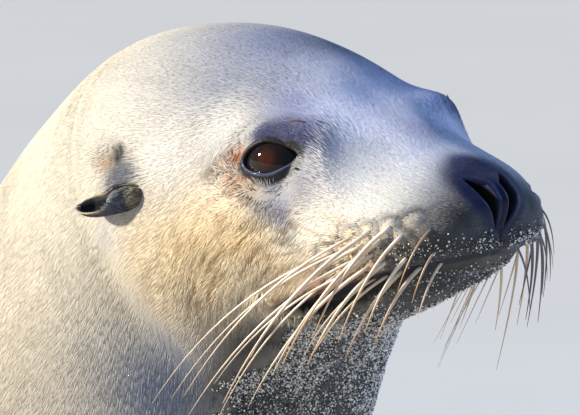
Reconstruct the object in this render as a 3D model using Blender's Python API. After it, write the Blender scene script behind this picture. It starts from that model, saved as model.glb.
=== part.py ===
"""A life-size sea lion, sitting upright on its fore flippers with its head raised.

The body is one loft of oval sections along a bent spine, parted with thin cuts into head,
neck, chest, belly and tail. Jaw, nose, eyes, ears, flippers and nails are pieces of their own.
Metres, +Z up. The animal looks along -Y, and the floor is at Z = 0.
"""

import math
from collections import namedtuple

import bmesh
import bpy
from mathutils import Matrix, Vector

# ---- driving dimensions, metres and radians ----------------------------------------------------
NOSE_AHEAD, NOSE_HEIGHT = 0.600, 0.770  # the front of the nose
HEAD_PITCH = math.radians(4.5)  # the nose is held a little high
GAP = 0.0004  # between neighbouring pieces
CUT_GAP = 0.0012  # along the spine, where the bend narrows it on the throat side
SIDES = 30  # points round a body section

HEAD_TURN = math.radians(-10)  # the head looks to the animal's right
TURN_AHEAD = 0.16  # the upright axis that the neck turns about
TURN_FROM, TURN_TO = 0.36, 0.66  # along the neck, where that turn grows
NECK_ALONG = (0.6, 0.8)  # direction up the neck, ahead and up
SWAY_AHEAD, SWAY_LENGTH, SWAY = 0.10, 0.90, 0.085  # the hindquarters lie to the left
CENTRE = Vector((0.0153, 0.1132, 0.0))  # the middle of the posed animal, from the spine's zero

# Places on the head are millimetres aside, behind the nose and above it, in the head's own frame.
EYE_RADIUS = 0.0185
EYE_PLACE = (36.5, 100, 12.5)
BALL_SIDES, BALL_RINGS = 16, 9

NOSE_HALF_WIDTH, NOSE_TOP, NOSE_BOTTOM = 14, 12, -15.5
NOSE_NARROW = 0.45  # how much narrower its lower end is
NOSE_DEPTH = 13
NOSE_SIDES = 20
NOSE_PROUD = 0.0008
NOSTRIL_PLACE, NOSTRIL_TILT = (8.0, 3, 1.5), math.radians(24)
NOSTRIL_SIZE = (0.0019, 0.0080, 0.0085)  # half width, depth and height of the slot

MOUTH_FRONT, MOUTH_CORNER = (0, -22), (99, -50)  # behind and above
JAW_BACK, JAW_HALF_WIDTH = (116, -66), 60
JAW_INSET = 0.0008

EAR_ROOT, EAR_PLACE, EAR_TIP = (52, 143, 14), (73, 151, 8), (90, 176, -9)
EAR_WIDTH, EAR_THICK, EAR_SIDES = 0.0068, 0.0046, 12

# ---- materials: colour, roughness --------------------------------------------------------------
LOOKS = {
    "coat": ((0.60, 0.55, 0.46), 0.75),
    "flipper_skin": ((0.055, 0.045, 0.045), 0.55),
    "nose_skin": ((0.020, 0.020, 0.026), 0.35),
    "eye_gloss": ((0.020, 0.012, 0.008), 0.06),
    "nail": ((0.10, 0.08, 0.07), 0.45),
}

# A section of the body: where its middle lies, its half width, how far it rises towards the back
# and drops towards the belly, how many degrees its top leans backwards, and the roundness of its
# upper and lower halves (2 is an ellipse).
Station = namedtuple("Station", "ahead height half_width rise drop lean crown keel")

# The head, measured behind the nose and above the line through it, in millimetres.
HEAD_STATIONS = (
    # behind, above, half width, rise, drop, lean, crown, keel
    (0, -12, 0, 0, 0, 4.5, 2.0, 2.0),
    (2, -12, 19, 13, 10, 4.5, 2.0, 2.0),
    (9, -13, 30, 19, 12.5, 4.5, 2.0, 2.0),
    (22, -13, 38, 27, 20, 4.5, 2.1, 2.0),
    (40, -13, 44, 34, 32, 4.5, 2.1, 2.0),
    (62, -13, 49, 44, 42, 4.5, 2.2, 2.0),
    (84, -13, 54, 54, 51, 4.5, 2.3, 2.1),
    (106, -12, 61, 64, 62, 7.0, 2.2, 2.1),
    (130, -11, 69, 73, 77, 13.0, 2.1, 2.1),
    (155, -11, 76, 80, 96, 22.0, 2.1, 2.1),
    (180, -15, 81, 85, 112, 32.0, 2.1, 2.0),
)

# Neck, trunk and tail, in metres over the floor.
BODY_STATIONS = (
    Station(0.392, 0.706, 0.090, 0.097, 0.114, 43.0, 2.0, 2.0),
    Station(0.352, 0.645, 0.102, 0.105, 0.121, 50.0, 2.0, 2.0),
    Station(0.298, 0.560, 0.118, 0.117, 0.130, 53.0, 2.0, 2.0),
    Station(0.235, 0.470, 0.138, 0.131, 0.143, 53.0, 2.0, 2.0),
    Station(0.150, 0.384, 0.159, 0.144, 0.157, 47.0, 2.0, 2.1),
    Station(0.035, 0.306, 0.178, 0.153, 0.168, 36.0, 2.0, 2.1),
    Station(-0.105, 0.235, 0.188, 0.156, 0.172, 26.0, 2.0, 2.1),
    Station(-0.255, 0.180, 0.181, 0.147, 0.172, 19.0, 2.0, 2.2),
    Station(-0.400, 0.140, 0.158, 0.126, 0.152, 16.0, 2.0, 2.2),
    Station(-0.525, 0.110, 0.132, 0.102, 0.120, 15.0, 2.0, 2.1),
    Station(-0.625, 0.086, 0.103, 0.080, 0.095, 16.0, 2.0, 2.0),
    Station(-0.695, 0.064, 0.070, 0.055, 0.070, 18.0, 2.0, 2.0),
    Station(-0.745, 0.045, 0.036, 0.030, 0.038, 18.0, 2.0, 2.0),
    Station(-0.785, 0.032, 0.018, 0.014, 0.020, 16.0, 2.0, 2.0),
    Station(-0.815, 0.025, 0.010, 0.007, 0.010, 14.0, 2.0, 2.0),
    Station(-0.822, 0.024, 0.000, 0.000, 0.000, 14.0, 2.0, 2.0),
)

# Fullness that the oval sections lack, on both sides of the head: place in the head's own
# millimetres, the radius of the swelling and how far it pushes the skin out (or in).
Swelling = namedtuple("Swelling", "aside behind above radius push")
SWELLINGS = (
    Swelling(31, 32, -18, 19, 4.0),  # whisker pad
    Swelling(44, 79, 28, 16, 9.5),  # brow
    Swelling(57, 93, 13, 13, -6.0),  # the eye's orbit
    Swelling(30, 60, 14, 15, -3.0),  # hollow in front of the eye
    Swelling(60, 128, -30, 26, 3.0),  # cheek
    Swelling(0, 78, 44, 20, -2.0),  # the dip between the brows
)

# A section of a flipper: where its middle lies, how far the blade reaches towards its leading and
# trailing edges, its half thickness, and the direction of the leading edge.
Blade = namedtuple("Blade", "aside ahead height lead trail thick lead_x lead_ahead lead_z")

FORE_BLADES = (
    Blade(0.085, 0.100, 0.300, 0.085, 0.085, 0.060, 0.00, 1.00, 0.10),
    Blade(0.140, 0.088, 0.225, 0.088, 0.092, 0.056, 0.00, 1.00, 0.10),
    Blade(0.186, 0.080, 0.158, 0.080, 0.088, 0.046, 0.05, 1.00, 0.05),
    Blade(0.217, 0.074, 0.100, 0.070, 0.079, 0.035, 0.15, 1.00, 0.02),
    Blade(0.242, 0.066, 0.050, 0.064, 0.075, 0.026, 0.30, 1.00, 0.00),
    Blade(0.276, 0.050, 0.018, 0.063, 0.080, 0.019, 0.45, 0.90, 0.00),
    Blade(0.326, 0.022, 0.012, 0.058, 0.085, 0.014, 0.55, 0.84, 0.00),
    Blade(0.376, -0.014, 0.009, 0.052, 0.082, 0.011, 0.62, 0.78, 0.00),
    Blade(0.422, -0.056, 0.007, 0.044, 0.070, 0.008, 0.70, 0.71, 0.00),
    Blade(0.460, -0.101, 0.005, 0.034, 0.053, 0.006, 0.78, 0.62, 0.00),
    Blade(0.486, -0.142, 0.004, 0.021, 0.031, 0.005, 0.84, 0.54, 0.00),
    Blade(0.496, -0.164, 0.003, 0.008, 0.012, 0.004, 0.86, 0.50, 0.00),
)
FORE_WRIST = 4.6  # where the arm ends and the flipper begins

# The hind leg runs out and back to the heel, and the flipper forward from there along the floor.
HEEL_BLADES = (
    Blade(0.040, -0.605, 0.092, 0.048, 0.052, 0.050, 0.30, 1.00, 0.00),
    Blade(0.085, -0.632, 0.076, 0.046, 0.050, 0.047, 0.30, 1.00, 0.00),
    Blade(0.125, -0.656, 0.056, 0.042, 0.044, 0.040, 0.25, 1.00, 0.00),
    Blade(0.155, -0.669, 0.040, 0.036, 0.036, 0.033, 0.20, 1.00, 0.00),
    Blade(0.176, -0.674, 0.031, 0.024, 0.024, 0.022, 0.15, 1.00, 0.00),
    Blade(0.184, -0.675, 0.029, 0.010, 0.010, 0.010, 0.15, 1.00, 0.00),
)
HIND_BLADES = (
    Blade(0.151, -0.668, 0.028, 0.028, 0.028, 0.024, 1.00, -0.25, 0.00),
    Blade(0.163, -0.625, 0.022, 0.036, 0.035, 0.020, 0.96, -0.28, 0.00),
    Blade(0.178, -0.575, 0.014, 0.047, 0.044, 0.015, 0.95, -0.31, 0.00),
    Blade(0.195, -0.522, 0.010, 0.060, 0.055, 0.011, 0.94, -0.33, 0.00),
    Blade(0.212, -0.470, 0.007, 0.072, 0.065, 0.008, 0.94, -0.34, 0.00),
    Blade(0.228, -0.422, 0.005, 0.081, 0.073, 0.006, 0.94, -0.34, 0.00),
)
FORE_ACROSS, HIND_ACROSS = 9, 20  # faces across a flipper
TOES = 5
TOE_REACH = (0.075, 0.044, 0.034, 0.038, 0.062)  # past the web's edge, outer toe first
TOE_NOTCH = 0.030  # how far the edge falls back between toes
TOE_RIDGE = 0.30  # how much thicker the blade is along a toe
TOES_FROM, TOES_TO = 2.0, 5.0  # where along the flipper the toes part

NAIL_TOES = (1, 2, 3)
NAIL_LENGTH, NAIL_RADIUS, NAIL_SIDES = 0.014, 0.0036, 8
NAIL_BACK = 0.30  # how far behind the web's edge a nail stands, in sections


# ---- the body's form ---------------------------------------------------------------------------
def head_point(behind, above):
    """(ahead, height) in metres of a place in the head's own frame, millimetres."""
    back, up = behind / 1000, above / 1000
    return (
        NOSE_AHEAD - back * math.cos(HEAD_PITCH) - up * math.sin(HEAD_PITCH),
        NOSE_HEIGHT - back * math.sin(HEAD_PITCH) + up * math.cos(HEAD_PITCH),
    )


def on_head(aside, behind, above):
    """A place in the head's own frame as a point of the straight animal."""
    ahead, height = head_point(behind, above)
    return Vector((aside / 1000, -ahead, height))


def head_station(behind, above, half_width, rise, drop, *shape):
    """A Station from a row of HEAD_STATIONS."""
    ahead, height = head_point(behind, above)
    return Station(ahead, height, half_width / 1000, rise / 1000, drop / 1000, *shape)


STATIONS = tuple(head_station(*row) for row in HEAD_STATIONS) + BODY_STATIONS
LAST = len(STATIONS) - 1
NECK_CUT, CHEST_CUT, BELLY_CUT, TAIL_CUT = 12.15, 14.4, 17.0, 21.4  # in stations from the nose


def slope(rows, i, knots):
    """The smooth curve's slope at row i, from its neighbours, for every column."""
    lower, upper = max(i - 1, 0), min(i + 1, len(rows) - 1)
    if lower == i or upper == i:
        span = knots[upper] - knots[lower]
        return [(b - a) / span for a, b in zip(rows[lower], rows[upper])]
    before, after = knots[i] - knots[lower], knots[upper] - knots[i]
    return [
        ((b - a) / before * after + (c - b) / after * before) / (before + after)
        for a, b, c in zip(rows[lower], rows[i], rows[upper])
    ]


def knots_of(rows, columns):
    """Distance from row to row, over the columns that hold lengths."""
    knots = [0.0]
    for a, b in zip(rows, rows[1:]):
        knots.append(knots[-1] + math.dist(a[:columns], b[:columns]))
    return knots


def between(rows, knots, place):
    """The rows' smooth curve at place, counted in rows: 2.5 is half way from row 2 to row 3."""
    i = min(int(place), len(rows) - 2)
    span, t = knots[i + 1] - knots[i], place - i
    a, b = slope(rows, i, knots), slope(rows, i + 1, knots)
    near, far = (1 + 2 * t) * (1 - t) ** 2, t * t * (3 - 2 * t)
    rise, fall = t * (1 - t) ** 2 * span, t * t * (t - 1) * span
    return [
        near * p + far * q + rise * m + fall * n
        for p, q, m, n in zip(rows[i], rows[i + 1], a, b)
    ]


BODY_KNOTS = knots_of(STATIONS, 5)


def body_frame(place):
    """The Station at place, and the direction of its top in the animal's own mid plane."""
    here = Station(*between(STATIONS, BODY_KNOTS, place))
    lean = math.radians(here.lean)
    return here, Vector((0, math.sin(lean), math.cos(lean)))


def power(value, roundness):
    return math.copysign(abs(value) ** (2 / roundness), value)


def swell(point):
    """How far the swellings push a point of the head out."""
    push = 0.0
    for s in SWELLINGS:
        middle = on_head(s.aside, s.behind, s.above)
        away = (Vector((abs(point.x), point.y, point.z)) - middle).length_squared
        push += s.push / 1000 * math.exp(-away / (s.radius / 1000) ** 2)
    return push


def body_ring(place, grown):
    """The points round one section, grown outwards by a margin. A tip is one point."""
    here, dorsal = body_frame(place)
    middle = Vector((0, -here.ahead, here.height))
    if here.half_width < 0.0005:
        return [middle]
    ring = []
    for k in range(SIDES):
        turn = 2 * math.pi * k / SIDES
        up, side = math.cos(turn), math.sin(turn)
        roundness = here.crown if up > 0 else here.keel
        reach = (here.rise if up > 0 else here.drop) * power(up, roundness)
        out = Vector((here.half_width * power(side, roundness), 0, 0)) + dorsal * reach
        point = middle + out
        ring.append(point + out.normalized() * (swell(point) + grown))
    return ring


def spread(start, end, count):
    return [start + (end - start) * k / (count - 1) for k in range(count)]


def after_cut(place):
    """The place just past a cut, CUT_GAP further along the spine."""
    i = int(place)
    return place + CUT_GAP / math.dist(STATIONS[i][:2], STATIONS[i + 1][:2])


PIECES = {
    "head": spread(0, 1, 3) + spread(1.4, NECK_CUT, 23),
    "neck": spread(after_cut(NECK_CUT), CHEST_CUT, 7),
    "chest": spread(after_cut(CHEST_CUT), BELLY_CUT, 8),
    "belly": spread(after_cut(BELLY_CUT), TAIL_CUT, 11),
    "tail": spread(after_cut(TAIL_CUT), LAST, 8),
}


# ---- the stance --------------------------------------------------------------------------------
def smoothstep(low, high, value):
    t = min(max((value - low) / (high - low), 0), 1)
    return t * t * (3 - 2 * t)


def stance(point):
    """Sets a point of the straight animal in its pose: flat on the floor, hindquarters to one
    side, and head turned."""
    x, ahead, z = point.x, -point.y, max(point.z, 0.0)
    x += SWAY * smoothstep(0, 1, (SWAY_AHEAD - ahead) / SWAY_LENGTH)
    along = ahead * NECK_ALONG[0] + z * NECK_ALONG[1]
    turn = HEAD_TURN * smoothstep(TURN_FROM, TURN_TO, along)
    reach = ahead - TURN_AHEAD
    posed = Vector((
        x * math.cos(turn) + reach * math.sin(turn),
        -(TURN_AHEAD + reach * math.cos(turn) - x * math.sin(turn)),
        z,
    ))
    return posed - CENTRE


# ---- building ----------------------------------------------------------------------------------
def clear_scene():
    for obj in list(bpy.data.objects):
        bpy.data.objects.remove(obj)


def material(name):
    made = bpy.data.materials.get(name)
    if made is None:
        colour, roughness = LOOKS[name]
        made = bpy.data.materials.new(name)
        made.use_nodes = True
        shader = made.node_tree.nodes["Principled BSDF"]
        shader.inputs["Base Color"].default_value = (*colour, 1)
        shader.inputs["Roughness"].default_value = roughness
    return made


def finish(name, shape, look):
    """Makes an object of a bmesh in the straight animal's frame, and sets it in its stance."""
    for vert in shape.verts:
        vert.co = stance(vert.co)
    bmesh.ops.recalc_face_normals(shape, faces=shape.faces)
    mesh = bpy.data.meshes.new(name)
    shape.to_mesh(mesh)
    shape.free()
    mesh.shade_smooth()
    mesh.set_sharp_from_angle(angle=math.radians(40))
    mesh.materials.append(material(look))
    obj = bpy.data.objects.new(name, mesh)
    bpy.context.scene.collection.objects.link(obj)
    return obj


def helper(obj):
    """Hides a cutter from the render, so that it is no part of the animal."""
    obj.hide_render = True
    obj.display_type = "WIRE"
    return obj


def boolean(obj, operation, other):
    made = obj.modifiers.new(f"{operation.lower()}_{other.name}", "BOOLEAN")
    made.operation = operation
    made.object = other
    made.solver = "EXACT"


def cap_round(shape, row):
    """Closes a ring with a fan round its middle."""
    hub = shape.verts.new(sum((v.co for v in row), Vector()) / len(row))
    for k in range(len(row)):
        shape.faces.new((row[k], row[(k + 1) % len(row)], hub))


def cap_flat(shape, row):
    """Closes a ring whose upper and lower halves run side by side, with faces between them."""
    half = len(row) // 2
    for k in range(half):
        corners = (row[k], row[k + 1], row[(-k - 1) % len(row)], row[-k % len(row)])
        shape.faces.new(list(dict.fromkeys(corners)))


def loft(name, rings, look, cap=cap_round):
    """An object skinned over rings of points. A ring of one point is a tip."""
    shape = bmesh.new()
    rows = [[shape.verts.new(p) for p in ring] for ring in rings]
    for low, high in zip(rows, rows[1:]):
        for k in range(max(len(low), len(high))):
            corners = (
                low[k % len(low)],
                low[(k + 1) % len(low)],
                high[(k + 1) % len(high)],
                high[k % len(high)],
            )
            shape.faces.new(list(dict.fromkeys(corners)))
    for row in (rows[0], rows[-1]):
        if len(row) > 1:
            cap(shape, row)
    return finish(name, shape, look)


def body_loft(name, steps, grown=0.0):
    return loft(name, [body_ring(place, grown) for place in steps], "coat")


# ---- head --------------------------------------------------------------------------------------
def prism(name, outline, half_width, look):
    """A block across the head: outline is (behind, above) in millimetres, walked round once."""
    sides = [[on_head(w, *place) for place in outline] for w in (-half_width, half_width)]
    return loft(name, sides, look)


def jaw_outline(grown):
    """Below the mouth line, from in front of the lips to the mouth's corner and the throat."""
    front, corner, back = MOUTH_FRONT, MOUTH_CORNER, JAW_BACK
    bent = Vector((corner[0] - front[0], corner[1] - front[1])).normalized()
    start = (front[0] - 12 * bent.x, front[1] - 12 * bent.y + grown)
    low = back[1] - 60
    return (
        start,
        (corner[0], corner[1] + grown),
        (back[0] + grown, back[1] + grown),
        (back[0] + grown, low),
        (start[0], low),
    )


def nose_rings(grown):
    """The nose pad's outline seen from the front, wide above and narrow below, drawn back."""
    middle, half = (NOSE_TOP + NOSE_BOTTOM) / 2, (NOSE_TOP - NOSE_BOTTOM) / 2
    rings = []
    for behind in (-8, NOSE_DEPTH + grown):
        ring = []
        for k in range(NOSE_SIDES):
            turn = 2 * math.pi * k / NOSE_SIDES
            up = power(math.cos(turn), 2.6)
            wide = 1 - NOSE_NARROW * smoothstep(0.6, -1, up)
            aside = (NOSE_HALF_WIDTH + grown) * wide * power(math.sin(turn), 2.6)
            ring.append(on_head(aside, behind, middle + (half + grown) * up))
        rings.append(ring)
    return rings


def ball(name, middle, size, tilt, look):
    """A sphere stretched to three half sizes and tilted about the direction ahead."""
    shape = bmesh.new()
    bmesh.ops.create_uvsphere(shape, u_segments=BALL_SIDES, v_segments=BALL_RINGS, radius=1)
    lean = Matrix.Rotation(tilt, 4, "Y")
    across = Matrix.Rotation(math.pi / 2, 4, "Y")
    for vert in shape.verts:
        round_place = across @ vert.co
        vert.co = middle + lean @ Vector([a * b for a, b in zip(round_place, size)])
    return finish(name, shape, look)


def ear(name, side):
    """A small rolled cone of skin that points back and down."""
    root, base, tip = (on_head(side * p[0], *p[1:]) for p in (EAR_ROOT, EAR_PLACE, EAR_TIP))
    along = (tip - base).normalized()
    wide = along.cross(Vector((side, 0, 0))).normalized()
    thin = along.cross(wide)
    rings = []
    for share in (-1.0, 0.0, 0.3, 0.6, 0.85, 1.0):
        middle = base.lerp(tip, share) if share >= 0 else root
        size = 1.0 if share < 0 else math.sqrt(max(1.04 - share ** 2, 0))
        rings.append([
            middle
            + wide * EAR_WIDTH * size * math.cos(2 * math.pi * k / EAR_SIDES)
            + thin * EAR_THICK * size * math.sin(2 * math.pi * k / EAR_SIDES)
            for k in range(EAR_SIDES)
        ])
    return loft(name, rings, "coat")


def make_head(form):
    head = body_loft("head", PIECES["head"])
    shrunk = helper(body_loft("head_form_inset", PIECES["head"], -JAW_INSET))
    proud = helper(body_loft("head_form_proud", PIECES["head"], NOSE_PROUD))

    jaw = prism("jaw", jaw_outline(0), JAW_HALF_WIDTH, "coat")
    boolean(jaw, "INTERSECT", shrunk)
    boolean(head, "DIFFERENCE", helper(prism("jaw_room", jaw_outline(0.4), 90, "coat")))

    nose = loft("nose", nose_rings(0), "nose_skin")
    boolean(nose, "INTERSECT", proud)
    boolean(head, "DIFFERENCE", helper(loft("nose_room", nose_rings(0.4), "coat")))

    for side, tag in ((1, "left"), (-1, "right")):
        slot = on_head(side * NOSTRIL_PLACE[0], *NOSTRIL_PLACE[1:])
        tilt = side * NOSTRIL_TILT
        boolean(nose, "DIFFERENCE", helper(
            ball(f"nostril_{tag}", slot, NOSTRIL_SIZE, tilt, "nose_skin")))

        middle = on_head(side * EYE_PLACE[0], *EYE_PLACE[1:])
        ball(f"eye_{tag}", middle, [EYE_RADIUS] * 3, 0, "eye_gloss")
        boolean(head, "DIFFERENCE", helper(
            ball(f"socket_{tag}", middle, [EYE_RADIUS + GAP] * 3, 0, "coat")))
        boolean(ear(f"ear_{tag}", side), "DIFFERENCE", form)


# ---- flippers ----------------------------------------------------------------------------------
def blade_at(blades, place):
    rows = [tuple(b) for b in blades]
    return Blade(*between(rows, knots_of(rows, 6), place))


def toe_place(across):
    """Where a point across the hind flipper lies among its toes, 0 at the outer toe's middle."""
    return (1 - across) / 2 * TOES - 0.5


def toe_reach(across):
    """How far the edge of the hind flipper reaches past its web."""
    place = toe_place(across)
    i = min(max(int(place), 0), TOES - 2)
    t = smoothstep(0, 1, place - i)
    level = TOE_REACH[i] * (1 - t) + TOE_REACH[i + 1] * t
    return level - TOE_NOTCH * (1 - abs(math.cos(math.pi * place)))


def blade_point(blades, place, side, across, up, grown, toes):
    """A point of a flipper: across is 1 at its leading edge and -1 at its trailing edge, up is 1
    on its upper face and -1 on its lower. side is 1 on the animal's left and -1 on its right."""
    here = blade_at(blades, place)
    back = blade_at(blades, max(place - 0.05, 0))
    on = blade_at(blades, min(place + 0.05, len(blades) - 1))
    along = Vector((on.aside - back.aside, back.ahead - on.ahead, on.height - back.height))
    along.normalize()
    lead = Vector((here.lead_x, -here.lead_ahead, here.lead_z))
    lead = (lead - along * lead.dot(along)).normalized()
    upper = along.cross(lead)
    if upper.z < 0:
        upper.negate()
    reach = (here.lead if across > 0 else here.trail) + grown
    thick = here.thick * (0.78 + 0.22 * across)
    point = Vector((here.aside, -here.ahead, here.height)) + lead * reach * across
    if toes:
        share = smoothstep(TOES_FROM, TOES_TO, place)
        thick *= 1 + share * TOE_RIDGE * math.cos(2 * math.pi * toe_place(across))
        point += along * share * toe_reach(across)
    point += upper * (thick + grown) * up
    return Vector((point.x * side, point.y, point.z))


def blade_rings(blades, steps, side, faces, grown=0.0, toes=False):
    rings = []
    for place in steps:
        ring = []
        for k in range(2 * faces):
            if toes:
                across = 1 - 2 * k / faces if k <= faces else 2 * k / faces - 3
                up = math.sqrt(1 - across * across) * (1 if k <= faces else -1)
            else:
                across, up = math.cos(math.pi * k / faces), math.sin(math.pi * k / faces)
            ring.append(blade_point(blades, place, side, across, up, grown, toes))
        rings.append(ring)
    return rings


def nail(name, side, toe):
    """A claw that lies on top of a toe and points along it."""
    across = 1 - 2 * (toe + 0.5) / TOES
    end = len(HIND_BLADES) - 1
    back = blade_point(HIND_BLADES, end - NAIL_BACK, side, across, 1, 0, True)
    front = blade_point(HIND_BLADES, end, side, across, 1, 0, True)
    along = (front - back).normalized()
    wide = along.cross(Vector((0, 0, 1))).normalized()
    up = wide.cross(along)
    rings = []
    for share in (0.0, 0.4, 0.75, 1.0):
        middle = back + along * NAIL_LENGTH * share
        size = NAIL_RADIUS * (1.0 - 0.75 * share ** 2)
        rings.append([
            middle
            + wide * size * math.cos(2 * math.pi * k / NAIL_SIDES)
            + up * size * math.sin(2 * math.pi * k / NAIL_SIDES)
            for k in range(NAIL_SIDES)
        ])
    return loft(name, rings, "nail")


def make_fore_limb(side, tag, form):
    arm = blade_rings(FORE_BLADES, spread(0, FORE_WRIST, 9), side, FORE_ACROSS)
    boolean(loft(f"fore_arm_{tag}", arm, "coat"), "DIFFERENCE", form)
    steps = spread(FORE_WRIST + 0.02, len(FORE_BLADES) - 1, 12)
    blade = blade_rings(FORE_BLADES, steps, side, FORE_ACROSS)
    loft(f"fore_flipper_{tag}", blade, "flipper_skin", cap_flat)


def make_hind_limb(side, tag, form):
    steps = spread(0, len(HEEL_BLADES) - 1, 10)
    heel = loft(f"hind_leg_{tag}", blade_rings(HEEL_BLADES, steps, side, FORE_ACROSS), "coat")
    boolean(heel, "DIFFERENCE", form)
    room = blade_rings(HEEL_BLADES, steps, side, FORE_ACROSS, GAP)
    heel_room = helper(loft(f"heel_room_{tag}", room, "coat"))

    steps = spread(0, len(HIND_BLADES) - 1, 7)
    shape = (HIND_BLADES, steps, side, HIND_ACROSS)
    flipper = loft(
        f"hind_flipper_{tag}", blade_rings(*shape, 0, True), "flipper_skin", cap_flat)
    boolean(flipper, "DIFFERENCE", heel_room)
    boolean(flipper, "DIFFERENCE", form)
    room = helper(
        loft(f"nail_room_{tag}", blade_rings(*shape, GAP, True), "flipper_skin", cap_flat))
    for toe in NAIL_TOES:
        boolean(nail(f"nail_{tag}_{toe + 1}", side, toe), "DIFFERENCE", room)


def main():
    clear_scene()
    steps = [place for piece in PIECES.values() for place in piece]
    form = helper(body_loft("body_form", steps, GAP))
    make_head(form)
    for name in ("neck", "chest", "belly", "tail"):
        body_loft(name, PIECES[name])
    for side, tag in ((1, "left"), (-1, "right")):
        make_fore_limb(side, tag, form)
        make_hind_limb(side, tag, form)


main()
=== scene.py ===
"""The finish of a life-size sea lion: skin, coat, eyes, ears, nails, whiskers and sand grains.

Metres, +Z up. The animal looks along -Y, and the floor is at Z = 0. Its form is worked out straight
and symmetric, and stance() then sets it in its pose. Places on the head are millimetres aside,
behind the nose and above it.
"""

import math
from collections import namedtuple

import bpy
import numpy as np
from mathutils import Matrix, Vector
from mathutils.bvhtree import BVHTree
from mathutils.kdtree import KDTree


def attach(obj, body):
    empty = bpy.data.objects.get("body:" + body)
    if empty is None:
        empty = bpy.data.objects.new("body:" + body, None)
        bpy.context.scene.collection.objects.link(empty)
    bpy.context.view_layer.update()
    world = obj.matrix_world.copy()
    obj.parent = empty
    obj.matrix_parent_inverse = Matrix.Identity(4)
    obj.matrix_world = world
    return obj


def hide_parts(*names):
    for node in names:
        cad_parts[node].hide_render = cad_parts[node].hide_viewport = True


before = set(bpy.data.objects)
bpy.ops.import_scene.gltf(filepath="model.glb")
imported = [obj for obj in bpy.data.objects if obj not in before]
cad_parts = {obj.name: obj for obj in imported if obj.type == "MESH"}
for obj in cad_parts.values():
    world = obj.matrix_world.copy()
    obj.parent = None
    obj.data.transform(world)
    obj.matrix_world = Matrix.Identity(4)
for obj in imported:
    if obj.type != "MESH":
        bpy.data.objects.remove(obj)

bl_info = {
    "name": "Sea lion",
    "version": (1, 0, 0),
    "blender": (4, 5, 0),
    "location": "3D View > Sidebar > Sea lion",
    "description": "Skin, coat, eyes, ears, nails and whiskers for the sea lion",
    "category": "Object",
}

# ---- the body's form, as its solids have it ----------------------------------------------------
NOSE_AHEAD, NOSE_HEIGHT = 0.600, 0.770
HEAD_PITCH = math.radians(4.5)
HEAD_TURN = math.radians(-10)
TURN_AHEAD = 0.16  # the upright that the head turns round stands this far ahead
TURN_FROM, TURN_TO = 0.36, 0.66  # where the turn sets in and is complete, along the neck
NECK_ALONG = (0.6, 0.8)
SWAY_AHEAD, SWAY_LENGTH, SWAY = 0.10, 0.90, 0.085
CENTRE = np.array((0.0153, 0.1132, 0.0))

EYE_RADIUS = 18.5
EYE_PLACE = np.array((36.5, 100.0, 12.5))
MOUTH_FRONT, MOUTH_CORNER = (0, -22), (99, -50)

HEAD_STATIONS = (
    # behind, above, half width, rise, drop, lean, crown, keel
    (0, -12, 0, 0, 0, 4.5, 2.0, 2.0),
    (2, -12, 19, 13, 10, 4.5, 2.0, 2.0),
    (9, -13, 30, 19, 12.5, 4.5, 2.0, 2.0),
    (22, -13, 38, 27, 20, 4.5, 2.1, 2.0),
    (40, -13, 44, 34, 32, 4.5, 2.1, 2.0),
    (62, -13, 49, 44, 42, 4.5, 2.2, 2.0),
    (84, -13, 54, 54, 51, 4.5, 2.3, 2.1),
    (106, -12, 61, 64, 62, 7.0, 2.2, 2.1),
    (130, -11, 69, 73, 77, 13.0, 2.1, 2.1),
    (155, -11, 76, 80, 96, 22.0, 2.1, 2.1),
    (180, -15, 81, 85, 112, 32.0, 2.1, 2.0),
)
BODY_STATIONS = (
    # ahead, height, half width, rise, drop, lean, crown, keel
    (0.392, 0.706, 0.090, 0.097, 0.114, 43.0, 2.0, 2.0),
    (0.352, 0.645, 0.102, 0.105, 0.121, 50.0, 2.0, 2.0),
    (0.298, 0.560, 0.118, 0.117, 0.130, 53.0, 2.0, 2.0),
    (0.235, 0.470, 0.138, 0.131, 0.143, 53.0, 2.0, 2.0),
    (0.150, 0.384, 0.159, 0.144, 0.157, 47.0, 2.0, 2.1),
    (0.035, 0.306, 0.178, 0.153, 0.168, 36.0, 2.0, 2.1),
    (-0.105, 0.235, 0.188, 0.156, 0.172, 26.0, 2.0, 2.1),
    (-0.255, 0.180, 0.181, 0.147, 0.172, 19.0, 2.0, 2.2),
    (-0.400, 0.140, 0.158, 0.126, 0.152, 16.0, 2.0, 2.2),
    (-0.525, 0.110, 0.132, 0.102, 0.120, 15.0, 2.0, 2.1),
    (-0.625, 0.086, 0.103, 0.080, 0.095, 16.0, 2.0, 2.0),
    (-0.695, 0.064, 0.070, 0.055, 0.070, 18.0, 2.0, 2.0),
    (-0.745, 0.045, 0.036, 0.030, 0.038, 18.0, 2.0, 2.0),
    (-0.785, 0.032, 0.018, 0.014, 0.020, 16.0, 2.0, 2.0),
    (-0.815, 0.025, 0.010, 0.007, 0.010, 14.0, 2.0, 2.0),
    (-0.822, 0.024, 0.000, 0.000, 0.000, 14.0, 2.0, 2.0),
)
NECK_CUT, CHEST_CUT, BELLY_CUT = 12.15, 14.4, 17.0  # stations where the body's parts meet

Swelling = namedtuple("Swelling", "aside behind above radius push")
SWELLINGS = (
    Swelling(31, 32, -18, 19, 4.0),  # whisker pad
    Swelling(44, 79, 28, 16, 9.5),  # brow
    Swelling(57, 93, 13, 13, -6.0),  # the eye's orbit
    Swelling(30, 60, 14, 15, -3.0),  # hollow in front of the eye
    Swelling(60, 128, -30, 26, 3.0),  # cheek
    Swelling(0, 78, 44, 20, -2.0),  # the dip between the brows
)

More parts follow.
